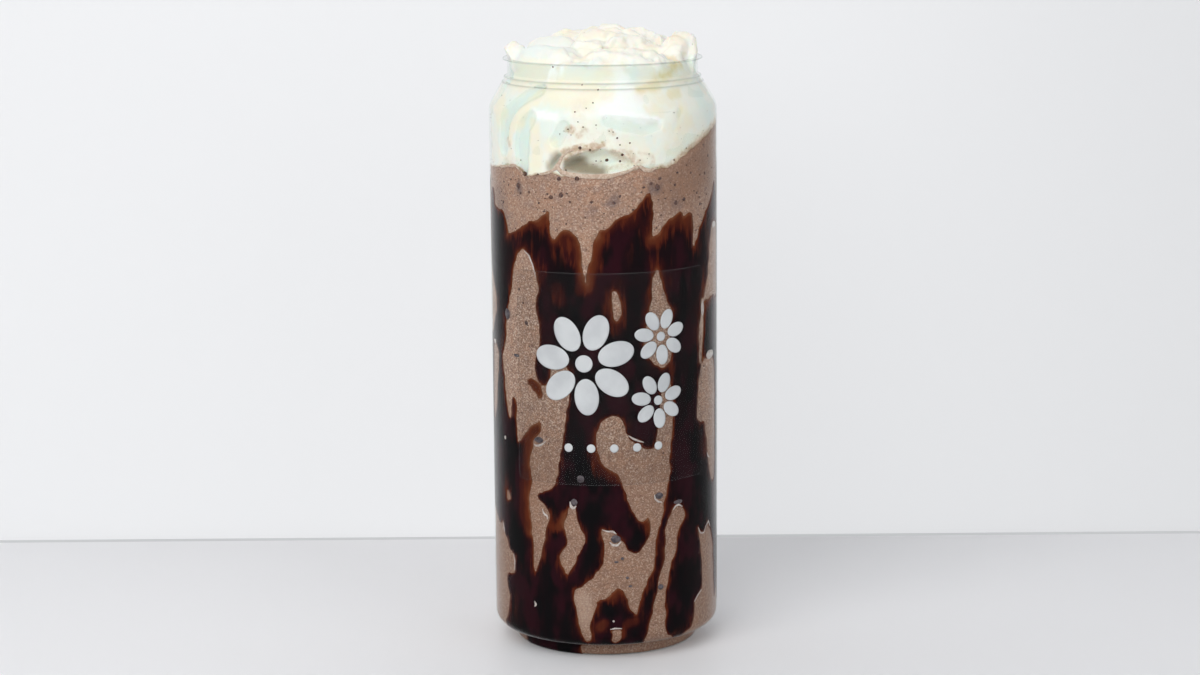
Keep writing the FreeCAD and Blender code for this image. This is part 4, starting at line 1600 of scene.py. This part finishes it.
    lumps: tuple[tuple[str, float, float, float, float, float], ...] = (
        # Lumps of painted light and shade above the rim: mark, place, size and share.
        ("cool_shade", -17.5, -11, 184.5, 13, 1), ("cool_shade", -23, -6, 184, 3.4, 0.8), ("cool_shade", 17, -15,
        184.2, 4.2, 0.7), ("cool_shade", 12, 4, 188, 4, 0.5), ("yellow_light_and_shade", -26.4, -3, 185, 3, 0.8),
        ("yellow_light_and_shade", -6, -20, 184.4, 4.2, 0.9), ("yellow_light_and_shade", 3, -18, 185.4, 3.6, 0.6), ("yellow_light_and_shade", 2,
        2, 190.4, 4, 0.7), ("yellow_light_and_shade", 13, -17, 184.6, 4.2, 0.6), ("yellow_light_and_shade", 15.5, -9, 187, 3.2,
        0.7), ("yellow_light_and_shade", 23, -4, 187.6, 4.4, 0.9), ("yellow_light_and_shade", 27, -3, 185, 4, 0.7), ("yellow_light_and_shade", -7,
        -8, 188, 3.4, 0.5), ("yellow_light_and_shade", 9, -2, 190, 3.4, 0.6), ("ochre_crease_shade", 21.6, -4, 187.6, 2.4,
        0.4), ("ochre_crease_shade", 15.5, -10, 186.8, 1.8, 0.4), ("ochre_crease_shade", 25.4, -9, 183.2, 1.8, 0.6),
        ("yellow_light_and_shade", -10, 20, 187, 5, 0.7), ("cool_shade", 8, 24, 186, 6, 0.7),
    )
    pocket_depth: float = 4.4
    notch_depth: float = 1.5
    top_limit: float = 191.4
    smooth_spots: Ovals = (
        (-17, -7, 183, 8), (24.5, -3, 186, 2.5))

    def _rope(self, mesh: Mesh, rope: Rope) -> None:
        """Extrudes one ridged rope along its line, with tapered ends.

        Args:
            mesh: The mesh, in millimetres.
            rope: The rope to add.
        """
        spots = [Vector(spot) for spot in rope.line]
        dense: list[Vector] = []
        for i in range(len(spots) - 1):
            before = spots[max(i - 1, 0)]
            after = spots[min(i + 2, len(spots) - 1)]
            for j in range(self.line_steps):
                t = j / self.line_steps
                pull, push = (spots[i + 1] - before) / 2, (after - spots[i]) / 2
                dense.append((2 * t**3 - 3 * t**2 + 1) * spots[i] + (t**3 - 2 * t**2 + t) * pull
                             + (3 * t**2 - 2 * t**3) * spots[i + 1] + (t**3 - t**2) * push)
        dense.append(spots[-1])
        side = Vector((0.1, 0.2, 1))
        sections = 6 * rope.ridges
        ring = bmesh.ops.create_circle(mesh, cap_ends=True, radius=1.0, segments=sections)["verts"]
        for number, vert in enumerate(ring):
            wave = math.cos(2 * math.pi * number * rope.ridges / sections)
            vert.co *= 1 + rope.ridge_depth * wave
        shape = [vert.co.copy() for vert in ring]
        edges = [edge for edge in mesh.edges if edge.verts[0] in ring and edge.verts[1] in ring]
        total = len(dense) - 1
        for i, spot in enumerate(dense):
            way = (dense[min(i + 1, total)] - dense[max(i - 1, 0)]).normalized()
            side = (side - way * side.dot(way)).normalized()
            share = i / total
            near_end = min(1.0, 3 * share + 0.02, 3 * (1 - share) + 0.02)
            swell = rope.tip + (1 - rope.tip) * math.sin(math.pi * near_end / 2)
            frame = Matrix((side, way.cross(side), way)).transposed().to_4x4()
            turn = Matrix.Rotation(math.radians(rope.twist) * share, 4, "Z")
            grow = Matrix.Scale(rope.radius * swell, 4)
            if i:
                grown = bmesh.ops.extrude_edge_only(mesh, edges=edges)["geom"]
                ring = [item for item in grown if isinstance(item, bmesh.types.BMVert)]
                edges = [item for item in grown if isinstance(item, bmesh.types.BMEdge)]
            place = Matrix.Translation(spot) @ frame @ turn @ grow
            for vert, base in zip(ring, shape):
                vert.co = place @ base
        bmesh.ops.contextual_create(mesh, geom=edges)

    def _bed(self, mesh: Mesh) -> None:
        """Spins the bed that fills the can from below the drink's edge to the rim.

        Args:
            mesh: The mesh, in millimetres.
        """
        low, high = self.bed_low, self.shape.height - self.bed_gap
        wall = [(0, low), (self.shape.body_radius - self.inset, low)]
        wall += [point for point in self.shape.outline(self.inset) if low < point[1] < high]
        bed = spun([*wall, *self.bed_top], self.bed_steps)
        data = bpy.data.meshes.new("bed")
        bed.to_mesh(data)
        bed.free()
        mesh.from_mesh(data)
        bpy.data.meshes.remove(data)

    def _remeshed(self, mesh: Mesh) -> Mesh:
        """Joins the ropes and the bed into one even skin.

        Args:
            mesh: The ropes and the bed, freed here.

        Returns:
            The skin.
        """
        data = bpy.data.meshes.new("cream_lumps")
        mesh.to_mesh(data)
        mesh.free()
        lump = bpy.data.objects.new("cream_lumps", data)
        bpy.context.scene.collection.objects.link(lump)
        remesh = lump.modifiers.new("skin", "REMESH")
        remesh.mode = "VOXEL"
        remesh.voxel_size = self.voxel
        skin = bpy.data.meshes.new_from_object(lump.evaluated_get(
            bpy.context.evaluated_depsgraph_get()))
        bpy.data.objects.remove(lump)
        joined = bmesh.new()
        joined.from_mesh(skin)
        bpy.data.meshes.remove(skin)
        return joined

    def build(self) -> Piece:
        """Pipes, joins, presses and marks the cream.

        Returns:
            The piece.
        """
        mesh = bmesh.new()
        self._bed(mesh)
        for rope in self.ropes:
            self._rope(mesh, rope)
        bmesh.ops.recalc_face_normals(mesh, faces=mesh.faces)
        mesh = self._remeshed(mesh)
        for _ in range(2):
            relaxed(mesh, mesh.verts)
        self._whip(mesh)
        self._press(mesh)
        piece = finished(mesh, "whipped_cream", CreamFinish().material())
        self._marks(piece)
        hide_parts("cream")
        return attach(piece, ROOT)

    def _whip(self, mesh: Mesh) -> None:
        """Raises small torn lumps on the cream above the rim, few on the smooth lobe.

        Args:
            mesh: The mesh, in millimetres.
        """
        mesh.normal_update()
        smooth = [(Vector(spot[:3]), spot[3]) for spot in self.smooth_spots]
        moves = []
        for vert in mesh.verts:
            above = (vert.co.z - self.shape.height + 2.0) / 2.5
            if above <= 0:
                continue
            lumps = noise.turbulence(vert.co * 0.24, 3, True)
            torn = noise.turbulence(vert.co * 0.62 + Vector((5, 3, 1)), 2, True)
            calm = min(min(1.0, max(0.3, ((vert.co - spot).length - size) / 3.0))
                       for spot, size in smooth)
            swell = noise.noise(vert.co * 0.16 + Vector((9, 1, 4)))
            push = 1.2 * (lumps - 0.5) * calm + 0.55 * (torn - 0.45) * calm * calm + 0.8 * swell
            push *= min(1.0, above)
            moves.append((vert, vert.normal * push))
        for vert, move in moves:
            vert.co += move
        relaxed(mesh, [vert for vert, _ in moves])

    def _press(self, mesh: Mesh) -> None:
        """Keeps the cream inside the wall, with its folds and its air pockets.

        Args:
            mesh: The mesh, in millimetres.
        """
        scale = self.shape.scale
        spots = np.array([vert.co[:] for vert in mesh.verts])
        x, y = turns(spots) * scale, spots[:, 2]
        upper = np.array([point for point in self.shape.outline(self.inset) if point[1] > 20])
        wall = np.interp(y, upper[:, 1], upper[:, 0])
        dip = 1.2 * soft_places(self.folds, x, y, scale)
        dip += 0.3 * np.clip(wrinkle(x, y, 7.0, 4.0, 5.0), 0, 1)
        tilt = np.interp(x / scale, (-21, 0, 16), (1.2, 0.9, 0.55))
        near = inside_outline(self.pocket, scale, x, y)
        dip = np.maximum(dip, self.pocket_depth * tilt * np.clip(near / 2.2, 0, 1) ** 0.7)
        near = inside_outline(self.notch, scale, x, y)
        dip = np.maximum(dip, self.notch_depth * np.clip(near / 1.2, 0, 1) ** 0.7)
        reach = np.hypot(spots[:, 0], spots[:, 1])
        fade = np.clip((self.shape.height - 0.5 - y) / 3.0, 0, 1)
        limit = np.where(y < self.shape.height, wall - dip * fade,
                         wall + 1.4 * np.clip((y - self.shape.height) / 3.0, 0, 1))
        shrink = np.where(reach > limit, limit / np.maximum(reach, 1e-6), 1.0)
        for vert, share in zip(mesh.verts, shrink):
            vert.co.x *= share
            vert.co.y *= share
            vert.co.z = min(vert.co.z, self.top_limit)

    def _marks(self, piece: Piece) -> None:
        """Marks the cream's painted light and shade (yellow, cool, highlight, ochre, pocket) and
        stains.

        Args:
            piece: The cream.
        """
        spots = places(piece)
        scale = self.shape.scale
        x, y = turns(spots) * scale, spots[:, 2]
        outer = (np.hypot(spots[:, 0], spots[:, 1]) > 20) & (y < self.shape.height + 1)
        bent_x = x + 1.0 * wrinkle(x, y, 3.4, 3.4, 6.0) + 0.4 * wrinkle(x, y, 1.3, 1.3, 9.0)
        bent_y = y + 0.8 * wrinkle(x, y, 3.1, 3.1, 7.0) + 0.4 * wrinkle(x, y, 1.2, 1.2, 4.0)
        values: dict[str, Array] = {}
        for name, soft, blur in (("yellow_light_and_shade", self.yellow_light_and_shade, 2.2), ("cool_shade", self.cool_shade, 2.4),
                                 ("painted_highlight", self.painted_highlight, 1.6), ("ochre_crease_shade", self.ochre_crease_shade, 1.5),
                                 ("stain", self.stains, 1.25), ("shade", self.shade, 1.0)):
            blurred = tuple((line, blur * fade, share) for line, fade, share in soft)
            values[name] = np.where(outer, soft_places(blurred, bent_x, bent_y, scale), 0.0)
        for name, *spot, size, share in self.lumps:
            away = np.linalg.norm(spots - np.array(spot), axis=1)
            near = share * np.clip(1.5 * (1 - away / size), 0, 1)
            values[name] = np.maximum(values[name], near)
        tops = np.array([self.drink.top(turn) for turn in range(-180, 180)])
        top = np.interp(turns(spots), range(-180, 180), tops)
        spread = np.interp(turns(spots), (-70, 20, 45, 80), (0.9, 1.2, 3.4, 4.0))
        edge = 0.55 * np.clip(1 - (y - top) / spread, 0, 1)
        values["stain"] = np.maximum(values["stain"], np.where(outer, edge, 0.0))
        for name, value in values.items():
            store_mark(piece, name, value)


# --- small things in the drink and cream ---


def add_strip(mesh: Mesh, shape: CanShape, line: Line, inset: float,
              steps: int = 14) -> None:
    """Adds a narrow strip that follows a line on the wall.

    Args:
        mesh: The mesh to add to, in millimetres.
        shape: The can's shape.
        line: The line.
        inset: Distance inside the outer face.
        steps: Faces along the strip.
    """
    way, radii, heights = shape.wall_table(inset)
    rows = bmesh.ops.create_grid(mesh, x_segments=2, y_segments=steps, size=1.0)["verts"]
    course = np.reshape(line, (-1, 3))
    knots = np.linspace(0, 1, len(course))
    scale = shape.scale
    for vert in rows:
        share = (vert.co.y + 1) / 2
        turn, along, half = (float(np.interp(share, knots, course[:, i])) for i in range(3))
        lead = [np.interp(min(share + 0.03, 1), knots, course[:, i]) for i in range(2)]
        lag = [np.interp(max(share - 0.03, 0), knots, course[:, i]) for i in range(2)]
        run = Vector(((lead[0] - lag[0]) * scale, lead[1] - lag[1])).normalized()
        turn -= run.y * half * vert.co.x / scale
        along += run.x * half * vert.co.x
        radius = float(np.interp(along, way, radii))
        vert.co = around(turn, radius, float(np.interp(along, way, heights)))


def add_patch(mesh: Mesh, shape: CanShape, spot: tuple[float, float, float, float],
              inset: float) -> None:
    """Adds a small oval patch on the wall.

    Args:
        mesh: The mesh to add to, in millimetres.
        shape: The can's shape.
        spot: Azimuth, height, and half sizes across and up.
        inset: Distance inside the outer face.
    """
    turn, height, wide, tall = spot
    scale = shape.scale
    line: Line = ()
    for i in range(13):
        angle = math.pi * i / 12
        lobe = 1 + 0.1 * math.sin(3 * angle + turn)
        side = turn - math.cos(angle) * wide / scale
        line += (side, height, tall * lobe * max(math.sin(angle), 0.05))
    add_strip(mesh, shape, line, inset)


@dataclass
class Bubbles:
    """Air bubbles and wet glints against the wall, and the froth round the pocket."""

    shape: CanShape
    froth: tuple[Line, ...] = (
        (-13.6, 157.4, 0.2, -17.6, 157, 0.35, -20.6, 155.4, 0.5, -22.4, 153.4, 0.6, -24.6, 151.6,
         0.5, -27.8, 150.4, 0.4, -33, 149.7, 0.3),
        (-23.4, 152.2, 0.4, -21, 150.6, 0.7, -14, 149.8, 0.8, -5, 149.6, 0.8, 4.2, 149.8, 0.75,
         11.4, 150.8, 0.6, 16.8, 152.2, 0.4),
        (18.6, 152.2, 0.3, 20.8, 151.2, 0.5, 24, 150.8, 0.5, 27, 151.6, 0.3),
        (-64, 150.4, 0.25, -50, 151.6, 0.35, -46.6, 150.4, 0.3, -44, 149.4, 0.2),
    )
    glints: tuple[Line, ...] = (
        (-38.4, 66.7, 0.1, -36.6, 66.5, 0.32, -34, 66.9, 0.34, -31.4, 68.2, 0.1),
        (-18.2, 50.2, 0.1, -17.8, 48.8, 0.4, -16.4, 48.1, 0.42, -15, 49, 0.1),
        (25, 51.8, 0.1, 25.4, 50.4, 0.26, 27.4, 49.4, 0.28, 29.2, 49.2, 0.1),
        (36, 46.2, 0.1, 37.6, 47.3, 0.26, 39.6, 47.5, 0.3, 42, 46.7, 0.1),
        (-33.8, 47, 0.1, -32.8, 45.6, 0.28, -31, 45, 0.3, -30.6, 44, 0.1),
        (11.4, 70.8, 0.12, 13.6, 69.8, 0.3, 16.4, 69, 0.26, 19.4, 68.4, 0.1),
        (1.6, 37.9, 0.1, 3.4, 36.9, 0.36, 5.6, 36.8, 0.34, 7.4, 38, 0.1),
        (-2, 41.8, 0.1, 0.6, 41.2, 0.22, 3.4, 41.2, 0.3, 5, 40.4, 0.1),
        (1.6, 10.4, 0.08, 4, 10.7, 0.26, 7.6, 10.6, 0.12),
        (54.4, 38.6, 0.12, 56.6, 36.5, 0.24, 60, 36.2, 0.2, 62.6, 38.2, 0.12),
        (63, 38.2, 0.12, 65.4, 39.2, 0.3, 67.6, 37.2, 0.12),
        (63.8, 61.2, 0.1, 64.8, 60, 0.26, 66.4, 59.4, 0.1),
        (-43.6, 126.2, 0.08, -40.4, 124.8, 0.24, -38, 122, 0.22, -36.2, 118.4, 0.08),
        (-66, 39.4, 0.1, -65, 37.6, 0.3, -64.4, 36.4, 0.1),
        (-39.4, 17.4, 0.1, -38.6, 16.4, 0.4, -39.4, 15.6, 0.1),
        (-55.2, 30.4, 0.1, -54, 28.4, 0.22, -54.2, 25.4, 0.1),
        (50.9, 15.4, 0.1, 53.6, 16.9, 0.2, 57.4, 18.4, 0.1),
    )
    patches: Ovals = (
        (74.6, 131.4, 1.9, 1), (68, 91.6, 3, 1.4), (58.9, 106.8, 0.9, 2.2), (-75.4, 95.4, 1.2,
        0.8), (-62, 66.6, 0.5, 0.6), (3.4, 13, 0.32, 0.3),
    )
    beads: Ovals = (
        (-35.6, 68.4, 1.7, 0.9), (-16.2, 50, 1.1, 1.1), (27.6, 51.3, 1.5, 0.95), (39.2, 48.4, 1.7,
        0.7), (4.8, 38.8, 1.5, 1.2), (-12.6, 57.4, 1.1, 1.2), (28.4, 22.6, 1, 0.8), (-58, 105.6,
        1.3, 1.7), (-50.4, 93.4, 1.3, 0.5), (8, 32.6, 0.5, 0.45), (10.5, 26.5, 0.5, 0.4), (12,
        23.8, 0.6, 0.35), (5, 31.6, 0.7, 0.3),
    )

    def _made(self, mesh: Mesh, name: str, finish: PlainFinish,
              thickness: float) -> Piece:
        """Finishes one kind of mark as a thin piece.

        Args:
            mesh: Its strips and patches, freed here.
            name: The piece's name.
            finish: Its finish.
            thickness: Its thickness.

        Returns:
            The piece.
        """
        piece = thickened(finished(mesh, name, finish.material()), thickness, 0.0)
        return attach(piece, ROOT)

    def build(self) -> list[Piece]:
        """Builds the glints, the beads and the froth.

        Returns:
            The three pieces.
        """
        bright = PlainFinish("wet_glint", paint(204, 194, 190), paint(176, 160, 154), 0.3, 0.8)
        grey = PlainFinish("bubble_grey", paint(96, 86, 90), paint(66, 58, 64), 0.35, 0.9)
        foam = PlainFinish("brown_froth", paint(206, 184, 168), paint(184, 156, 138), 0.45, 0.7)
        glints = bmesh.new()
        for line in self.glints:
            add_strip(glints, self.shape, line, 0.08)
        for patch in self.patches:
            add_patch(glints, self.shape, patch, 0.08)
        beads = bmesh.new()
        for bead in self.beads:
            add_patch(beads, self.shape, bead, 0.14)

        def froth(x: Array, y: Array) -> Array:
            """Joins the froth's lines and frays them."""
            return (along_lines(self.froth, self.shape.scale, x, y)
                    + 0.2 * wrinkle(x, y, 2.0, 2.0, 2.0))

        sheet = WallSheet(self.shape, "pocket_froth", froth, 0.30, 0.3, 0.06, 146, 162, -70, 45)
        ring = sheet.build(foam.material())
        return [self._made(glints, "wet_glints", bright, 0.05),
                self._made(beads, "air_beads", grey, 0.05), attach(ring, ROOT)]


@dataclass
class Specks:
    """Cocoa specks on the cream and dark grains in the drink, as small flattened beads."""

    shape: CanShape
    drink: Drink
    inset: float = 0.26
    cream_specks: Spots = (
        (-11.5, 158.1, 0.66), (1.8, 154.5, 0.62), (-30.9, 181.3, 0.4), (-6.5, 157.5, 0.42), (9.2,
        155.9, 0.46), (8.2, 154.1, 0.46), (13.2, 159.4, 0.3), (6.8, 161, 0.32), (2.9, 163.1,
        0.28), (-11.9, 176.3, 0.3), (-2.7, 174.9, 0.32), (37.6, 153.5, 0.36), (23.1, 155.9, 0.28),
        (-18.8, 151.4, 0.3), (-5.2, 171.3, 0.26), (-14.1, 168.7, 0.24), (-45.6, 153.4, 0.3), (8.2,
        158.9, 0.26), (4.8, 162.8, 0.2), (-3.6, 154.2, 0.26), (-1.2, 154.2, 0.22), (-14.2, 150,
        0.24), (-17.5, 163.6, 0.3), (-12.4, 165.8, 0.26), (-8.6, 169.8, 0.2), (-16, 161.9, 0.2),
        (-19.6, 163, 0.24), (-21.8, 162.1, 0.18), (18.3, 154.2, 0.24), (45.8, 156.6, 0.26), (29.2,
        152, 0.22), (-9.9, 164.3, 0.24), (-3.5, 164.9, 0.2), (-34.4, 149.6, 0.5), (-43, 149.4,
        0.9),
    )
    drink_specks: Spots = (
        (-47.5, 145.6, 1.1), (-46, 143.4, 0.5), (-27, 143, 0.9), (-21.5, 143.8, 0.9), (-22.5,
        148.6, 0.7), (-13, 149, 0.9), (-40, 144, 0.5), (-6, 142, 0.5), (5, 141.6, 0.8), (-34, 141,
        0.5), (8, 143.6, 0.5), (27.5, 145.8, 1), (29, 148.4, 0.8), (24, 147, 0.6), (38.6, 140.6,
        0.7), (44, 141.4, 0.6), (54, 142.6, 0.6), (57, 139, 0.5), (38, 146, 0.5), (62, 148, 0.6),
        (49, 149, 0.5), (66, 153, 0.5), (20, 146, 0.5), (-60, 146, 0.5), (-43, 104, 0.8), (-45,
        110, 0.5), (-41, 97, 0.5), (-48, 114, 0.4), (-50, 106, 0.4),
    )
    grains: int = 620
    grains_from: Point = (60, 128)
    dust: int = 150
    dust_reach: float = 26.0

    def _bead(self, mesh: Mesh, spot: Vector, radius: float,
              dice: random.Random) -> None:
        """Adds one flattened, uneven bead at a spot on the wall.

        Args:
            mesh: The mesh, in millimetres.
            spot: Its middle.
            radius: Its size.
            dice: Where its unevenness comes from.
        """
        beads = bmesh.ops.create_icosphere(mesh, subdivisions=1, radius=radius)["verts"]
        turn = math.atan2(spot.x, -spot.y)
        for vert in beads:
            vert.co *= dice.uniform(0.75, 1.2)
        bmesh.ops.scale(mesh, vec=(dice.uniform(0.8, 1.3), 0.12 / max(radius, 0.12),
                                   dice.uniform(0.6, 1.1)), verts=beads)
        bmesh.ops.rotate(mesh, cent=(0, 0, 0), matrix=Matrix.Rotation(turn, 3, "Z"), verts=beads)
        bmesh.ops.translate(mesh, vec=spot, verts=beads)

    def _made(self, name: str, spots: Sequence[tuple[float, float, float]], inset: float,
              finish: PlainFinish, slot: str) -> Piece:
        """Builds one kind of speck as a single piece.

        Args:
            name: The piece's name.
            spots: Azimuth, height and size of each speck.
            inset: Distance inside the outer face.
            finish: Their finish.
            slot: The record's slot, not used.

        Returns:
            The piece.
        """
        dice = random.Random(7)
        mesh = bmesh.new()
        way, radii, heights = self.shape.wall_table(inset)
        for turn, height, size in spots:
            radius = float(np.interp(height, heights[way > 9], radii[way > 9]))
            self._bead(mesh, around(turn, radius, height), size, dice)
        piece = finished(mesh, name, finish.material())
        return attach(piece, ROOT)

    def build(self) -> list[Piece]:
        """Builds the specks of both kinds, the placed ones and the scattered ones.

        Returns:
            The two pieces.
        """
        dice = random.Random(19)
        grains = list(self.drink_specks)
        for _ in range(self.grains):
            turn = dice.uniform(-180, 180)
            low = self.grains_from[0 if dice.random() < 0.4 else 1]
            height = dice.uniform(low, self.drink.top(turn) - 1.5)
            grains.append((turn, height, 0.14 + 0.3 * dice.random() ** 3))
        specks = list(self.cream_specks)
        for _ in range(self.dust):
            turn = dice.uniform(-180, 180)
            height = self.drink.top(turn) + self.dust_reach * dice.random() ** 2.2
            specks.append((turn, height, 0.09 + 0.11 * dice.random() ** 2))
        dark = PlainFinish("cocoa_speck", paint(112, 84, 66), paint(78, 54, 46), 0.5, 0.5)
        grain = PlainFinish("drink_grain", paint(72, 56, 60), paint(104, 74, 62), 0.5, 0.6)
        return [
            self._made("cocoa_specks", specks, 0.34, dark, "whipped_cream"),
            self._made("drink_grains", grains, 0.26, grain, "chocolate_drink"),
        ]


# --- the label ---


@dataclass
class Label:
    """The clear film on the front, with a plain flower print."""

    shape: CanShape
    width: float
    height: float
    base: float
    turn: float
    corner: float = 2.0
    thickness: float = 0.11
    petals: int = 7
    flowers: Spots = ((-9, 5, 15.5), (15, 12.5, 8.5), (14, -7, 8.5))
    dots: Points = ((-14, -21), (-7, -21), (0, -21), (7, -21), (14, -21))
    dot: float = 1.3

    def _flower(self, x: Array, y: Array, cx: float, cy: float,
                size: float) -> Array:
        """Gives the level of one round-petalled flower with an open middle.

        Args:
            x: Arc length round the wall.
            y: Way along the wall.
            cx: Its middle's x.
            cy: Its middle's y.
            size: Its outer radius.

        Returns:
            The level at each place.
        """
        dx, dy = x - cx, y - cy
        out, angle = np.hypot(dx, dy), np.arctan2(dy, dx)
        step = 2 * math.pi / self.petals
        nearest = np.round((angle - 0.3) / step) * step + 0.3
        px, py = 0.66 * size * np.cos(nearest), 0.66 * size * np.sin(nearest)
        ax, ay = np.cos(nearest), np.sin(nearest)
        along = (dx - px) * ax + (dy - py) * ay
        aside = -(dx - px) * ay + (dy - py) * ax
        petal = 1 - np.hypot(along / (0.36 * size), aside / (0.24 * size))
        middle = 0.17 * size - out
        return np.maximum(petal * 0.24 * size, middle)

    def build(self) -> list[Piece]:
        """Builds the film and the print.

        Returns:
            The two pieces.
        """
        scale = self.shape.scale
        cx, cy = self.turn * scale, self.base + self.height / 2
        half_x, half_y = self.width / 2 - self.corner, self.height / 2 - self.corner

        def film(x: Array, y: Array) -> Array:
            """Gives the rounded rectangle's level.

            Args:
                x: Arc length round the wall.
                y: Way along the wall.

            Returns:
                Its level at each place.
            """
            dx, dy = np.abs(x - cx) - half_x, np.abs(y - cy) - half_y
            outside = np.hypot(np.maximum(dx, 0), np.maximum(dy, 0))
            return self.corner - outside - np.minimum(np.maximum(dx, dy), 0)

        def motif(x: Array, y: Array) -> Array:
            """Joins the flowers and the dots.

            Args:
                x: Arc length round the wall.
                y: Way along the wall.

            Returns:
                Their level at each place.
            """
            parts = [self._flower(x, y, cx + dx, cy + dy, size) for dx, dy, size in self.flowers]
            parts += [self.dot - np.hypot(x - cx - dx, y - cy - dy) for dx, dy in self.dots]
            return np.max(parts, axis=0)

        reach = math.degrees(self.width / 2 / self.shape.body_radius) + 2
        box = (self.base - 1, self.base + self.height + 1, self.turn - reach, self.turn + reach)
        sheet = WallSheet(self.shape, "label_film", film, -0.01, 0.8, self.thickness, *box)
        clear = sheet.build(ClearFilm().material(), "level")
        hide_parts("label")
        ink = WallSheet(self.shape, "label_print", motif, -0.03, 0.3, 0.05, *box)
        grey = PlainFinish("print_grey", paint(203, 206, 208), paint(190, 193, 196), 0.45, 9.0)
        printed = ink.build(grey.material())
        for piece in (clear, printed):
            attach(piece, ROOT)
        return [clear, printed]


# --- the studio ---


@dataclass
class Studio:
    """The pale floor, the backdrop, the lamps and the camera."""

    breadth: float = 2400.0
    reach: float = 1300.0
    wall_height: float = 1500.0
    wall_distance: float = 120.0
    gap: float = 3.5
    gap_width: float = 12.0
    air: Colour = (0.93, 0.95, 0.97, 1.0)
    air_light: float = 0.29
    lens: float = 87.1
    camera_spot: tuple[float, float, float] = (-1.42, -889.66, 260.5)
    pitch: float = 79.437
    roll: float = -0.451

    def _plane(self, name: str, size: tuple[float, float], spot: Vector, upright: bool,
               finish: StudioFinish) -> None:
        """Adds one flat part of the studio.

        Args:
            name: Its name.
            size: Its two sides.
            spot: Its middle.
            upright: True for a wall.
            finish: Its finish.
        """
        mesh = bmesh.new()
        bmesh.ops.create_grid(mesh, x_segments=2, y_segments=2, size=0.5)
        bmesh.ops.scale(mesh, vec=(size[0], size[1], 1), verts=mesh.verts)
        if upright:
            bmesh.ops.rotate(mesh, cent=(0, 0, 0), matrix=Matrix.Rotation(math.pi / 2, 3, "X"),
                             verts=mesh.verts)
        bmesh.ops.translate(mesh, vec=spot, verts=mesh.verts)
        finished(mesh, name, finish.material())

    def _lamp(self, name: str, spot: Vector, aim: Vector, size: float, power: float,
              colour: tuple[float, float, float]) -> None:
        """Adds a square area lamp.

        Args:
            name: Its name.
            spot: Its place.
            aim: Where it points.
            size: Its side.
            power: Its power in watts.
            colour: Its colour.
        """
        data = bpy.data.lights.new(name, "AREA")
        data.shape = "SQUARE"
        data.size = size * MM
        data.energy = power
        data.color = colour
        lamp = bpy.data.objects.new(name, data)
        lamp.location = spot * MM
        lamp.rotation_euler = (aim - spot).to_track_quat("-Z", "Y").to_euler()
        bpy.context.scene.collection.objects.link(lamp)

    def build(self) -> None:
        """Builds the stage, the lamps, the world and the camera."""
        floor = StudioFinish("studio_floor", paint(235, 235, 237), paint(218, 218, 220), 0.12)
        wall = StudioFinish("studio_wall", paint(240, 241, 243), paint(238, 239, 241), 0.7, 0.12,
                            True)
        # Painted shadow: the strip in the seam between floor and backdrop is a darker grey.
        slot = StudioFinish("studio_seam_shade", paint(212, 213, 215), paint(208, 209, 211), 0.6)
        far, reach, edge = self.breadth, self.reach, self.wall_distance - self.gap
        back = edge + self.gap_width + reach / 2
        self._plane("studio_floor", (far, reach + edge), Vector((0, (edge - reach) / 2, 0)), False,
                    floor)
        self._plane("studio_seam_shade", (far, self.gap_width),
                    Vector((0, edge + self.gap_width / 2, -0.4)), False, slot)
        self._plane("studio_floor_behind", (far, reach), Vector((0, back, 0)), False, floor)
        self._plane("studio_wall", (far, self.wall_height),
                    Vector((0, self.wall_distance, self.wall_height / 2)), True, wall)
        middle = Vector((0, 0, 90))
        self._lamp("key", Vector((-340, -700, 640)), middle, 760, 6.8, (1.0, 0.995, 0.985))
        self._lamp("fill", Vector((620, -600, 380)), middle, 600, 1.7, (0.98, 0.99, 1.0))
        desk = NodeDesk("", bpy.data.worlds.new("studio_air"))
        sky = desk.node("ShaderNodeBackground", {}, {"Color": self.air,
                                                     "Strength": self.air_light})
        pale = desk.node("ShaderNodeBackground", {}, {"Color": paint(232, 233, 235)})
        seen = desk.rays(*SEEING)
        bpy.context.scene.world = desk.finish(desk.mixed(seen, sky, pale))
        data = bpy.data.cameras.new("camera")
        data.lens = self.lens
        data.sensor_width = 36.0
        data.clip_start, data.clip_end = 0.01, 20.0
        camera = bpy.data.objects.new("camera", data)
        turn = Matrix.Rotation(math.radians(self.pitch), 4, "X")
        roll = Matrix.Rotation(math.radians(self.roll), 4, "Z")
        camera.matrix_world = Matrix.Translation(Vector(self.camera_spot) * MM) @ turn @ roll
        bpy.context.scene.collection.objects.link(camera)
        scene = bpy.context.scene
        scene.camera = camera
        scene.view_settings.view_transform = "Standard"


def main() -> None:
    """Builds the frame, the studio and every piece in order."""
    logging.basicConfig(level=logging.INFO, format="%(name)s: %(message)s")
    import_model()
    low, high = (Vector(corner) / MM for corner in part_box("can"))
    label_low, label_high = (Vector(corner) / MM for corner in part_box("label"))
    shape = CanShape(height=high.z, body_radius=(high.x - low.x) / 2)
    Studio().build()
    drink = Drink(shape, mean_level=shape.height - 30.0)
    cream = Cream(shape, drink)
    label = Label(shape, width=65.0, height=label_high.z - label_low.z, base=label_low.z, turn=4.3)
    for part in (Can(shape), drink, Sauce(shape), cream, Bubbles(shape),
                 Specks(shape, drink), label):
        made = part.build()
        for piece in made if isinstance(made, list) else [made]:
            LOG.info("%s: %d faces", piece.name, len(piece.data.polygons))


if __name__ == "__main__":
    main()
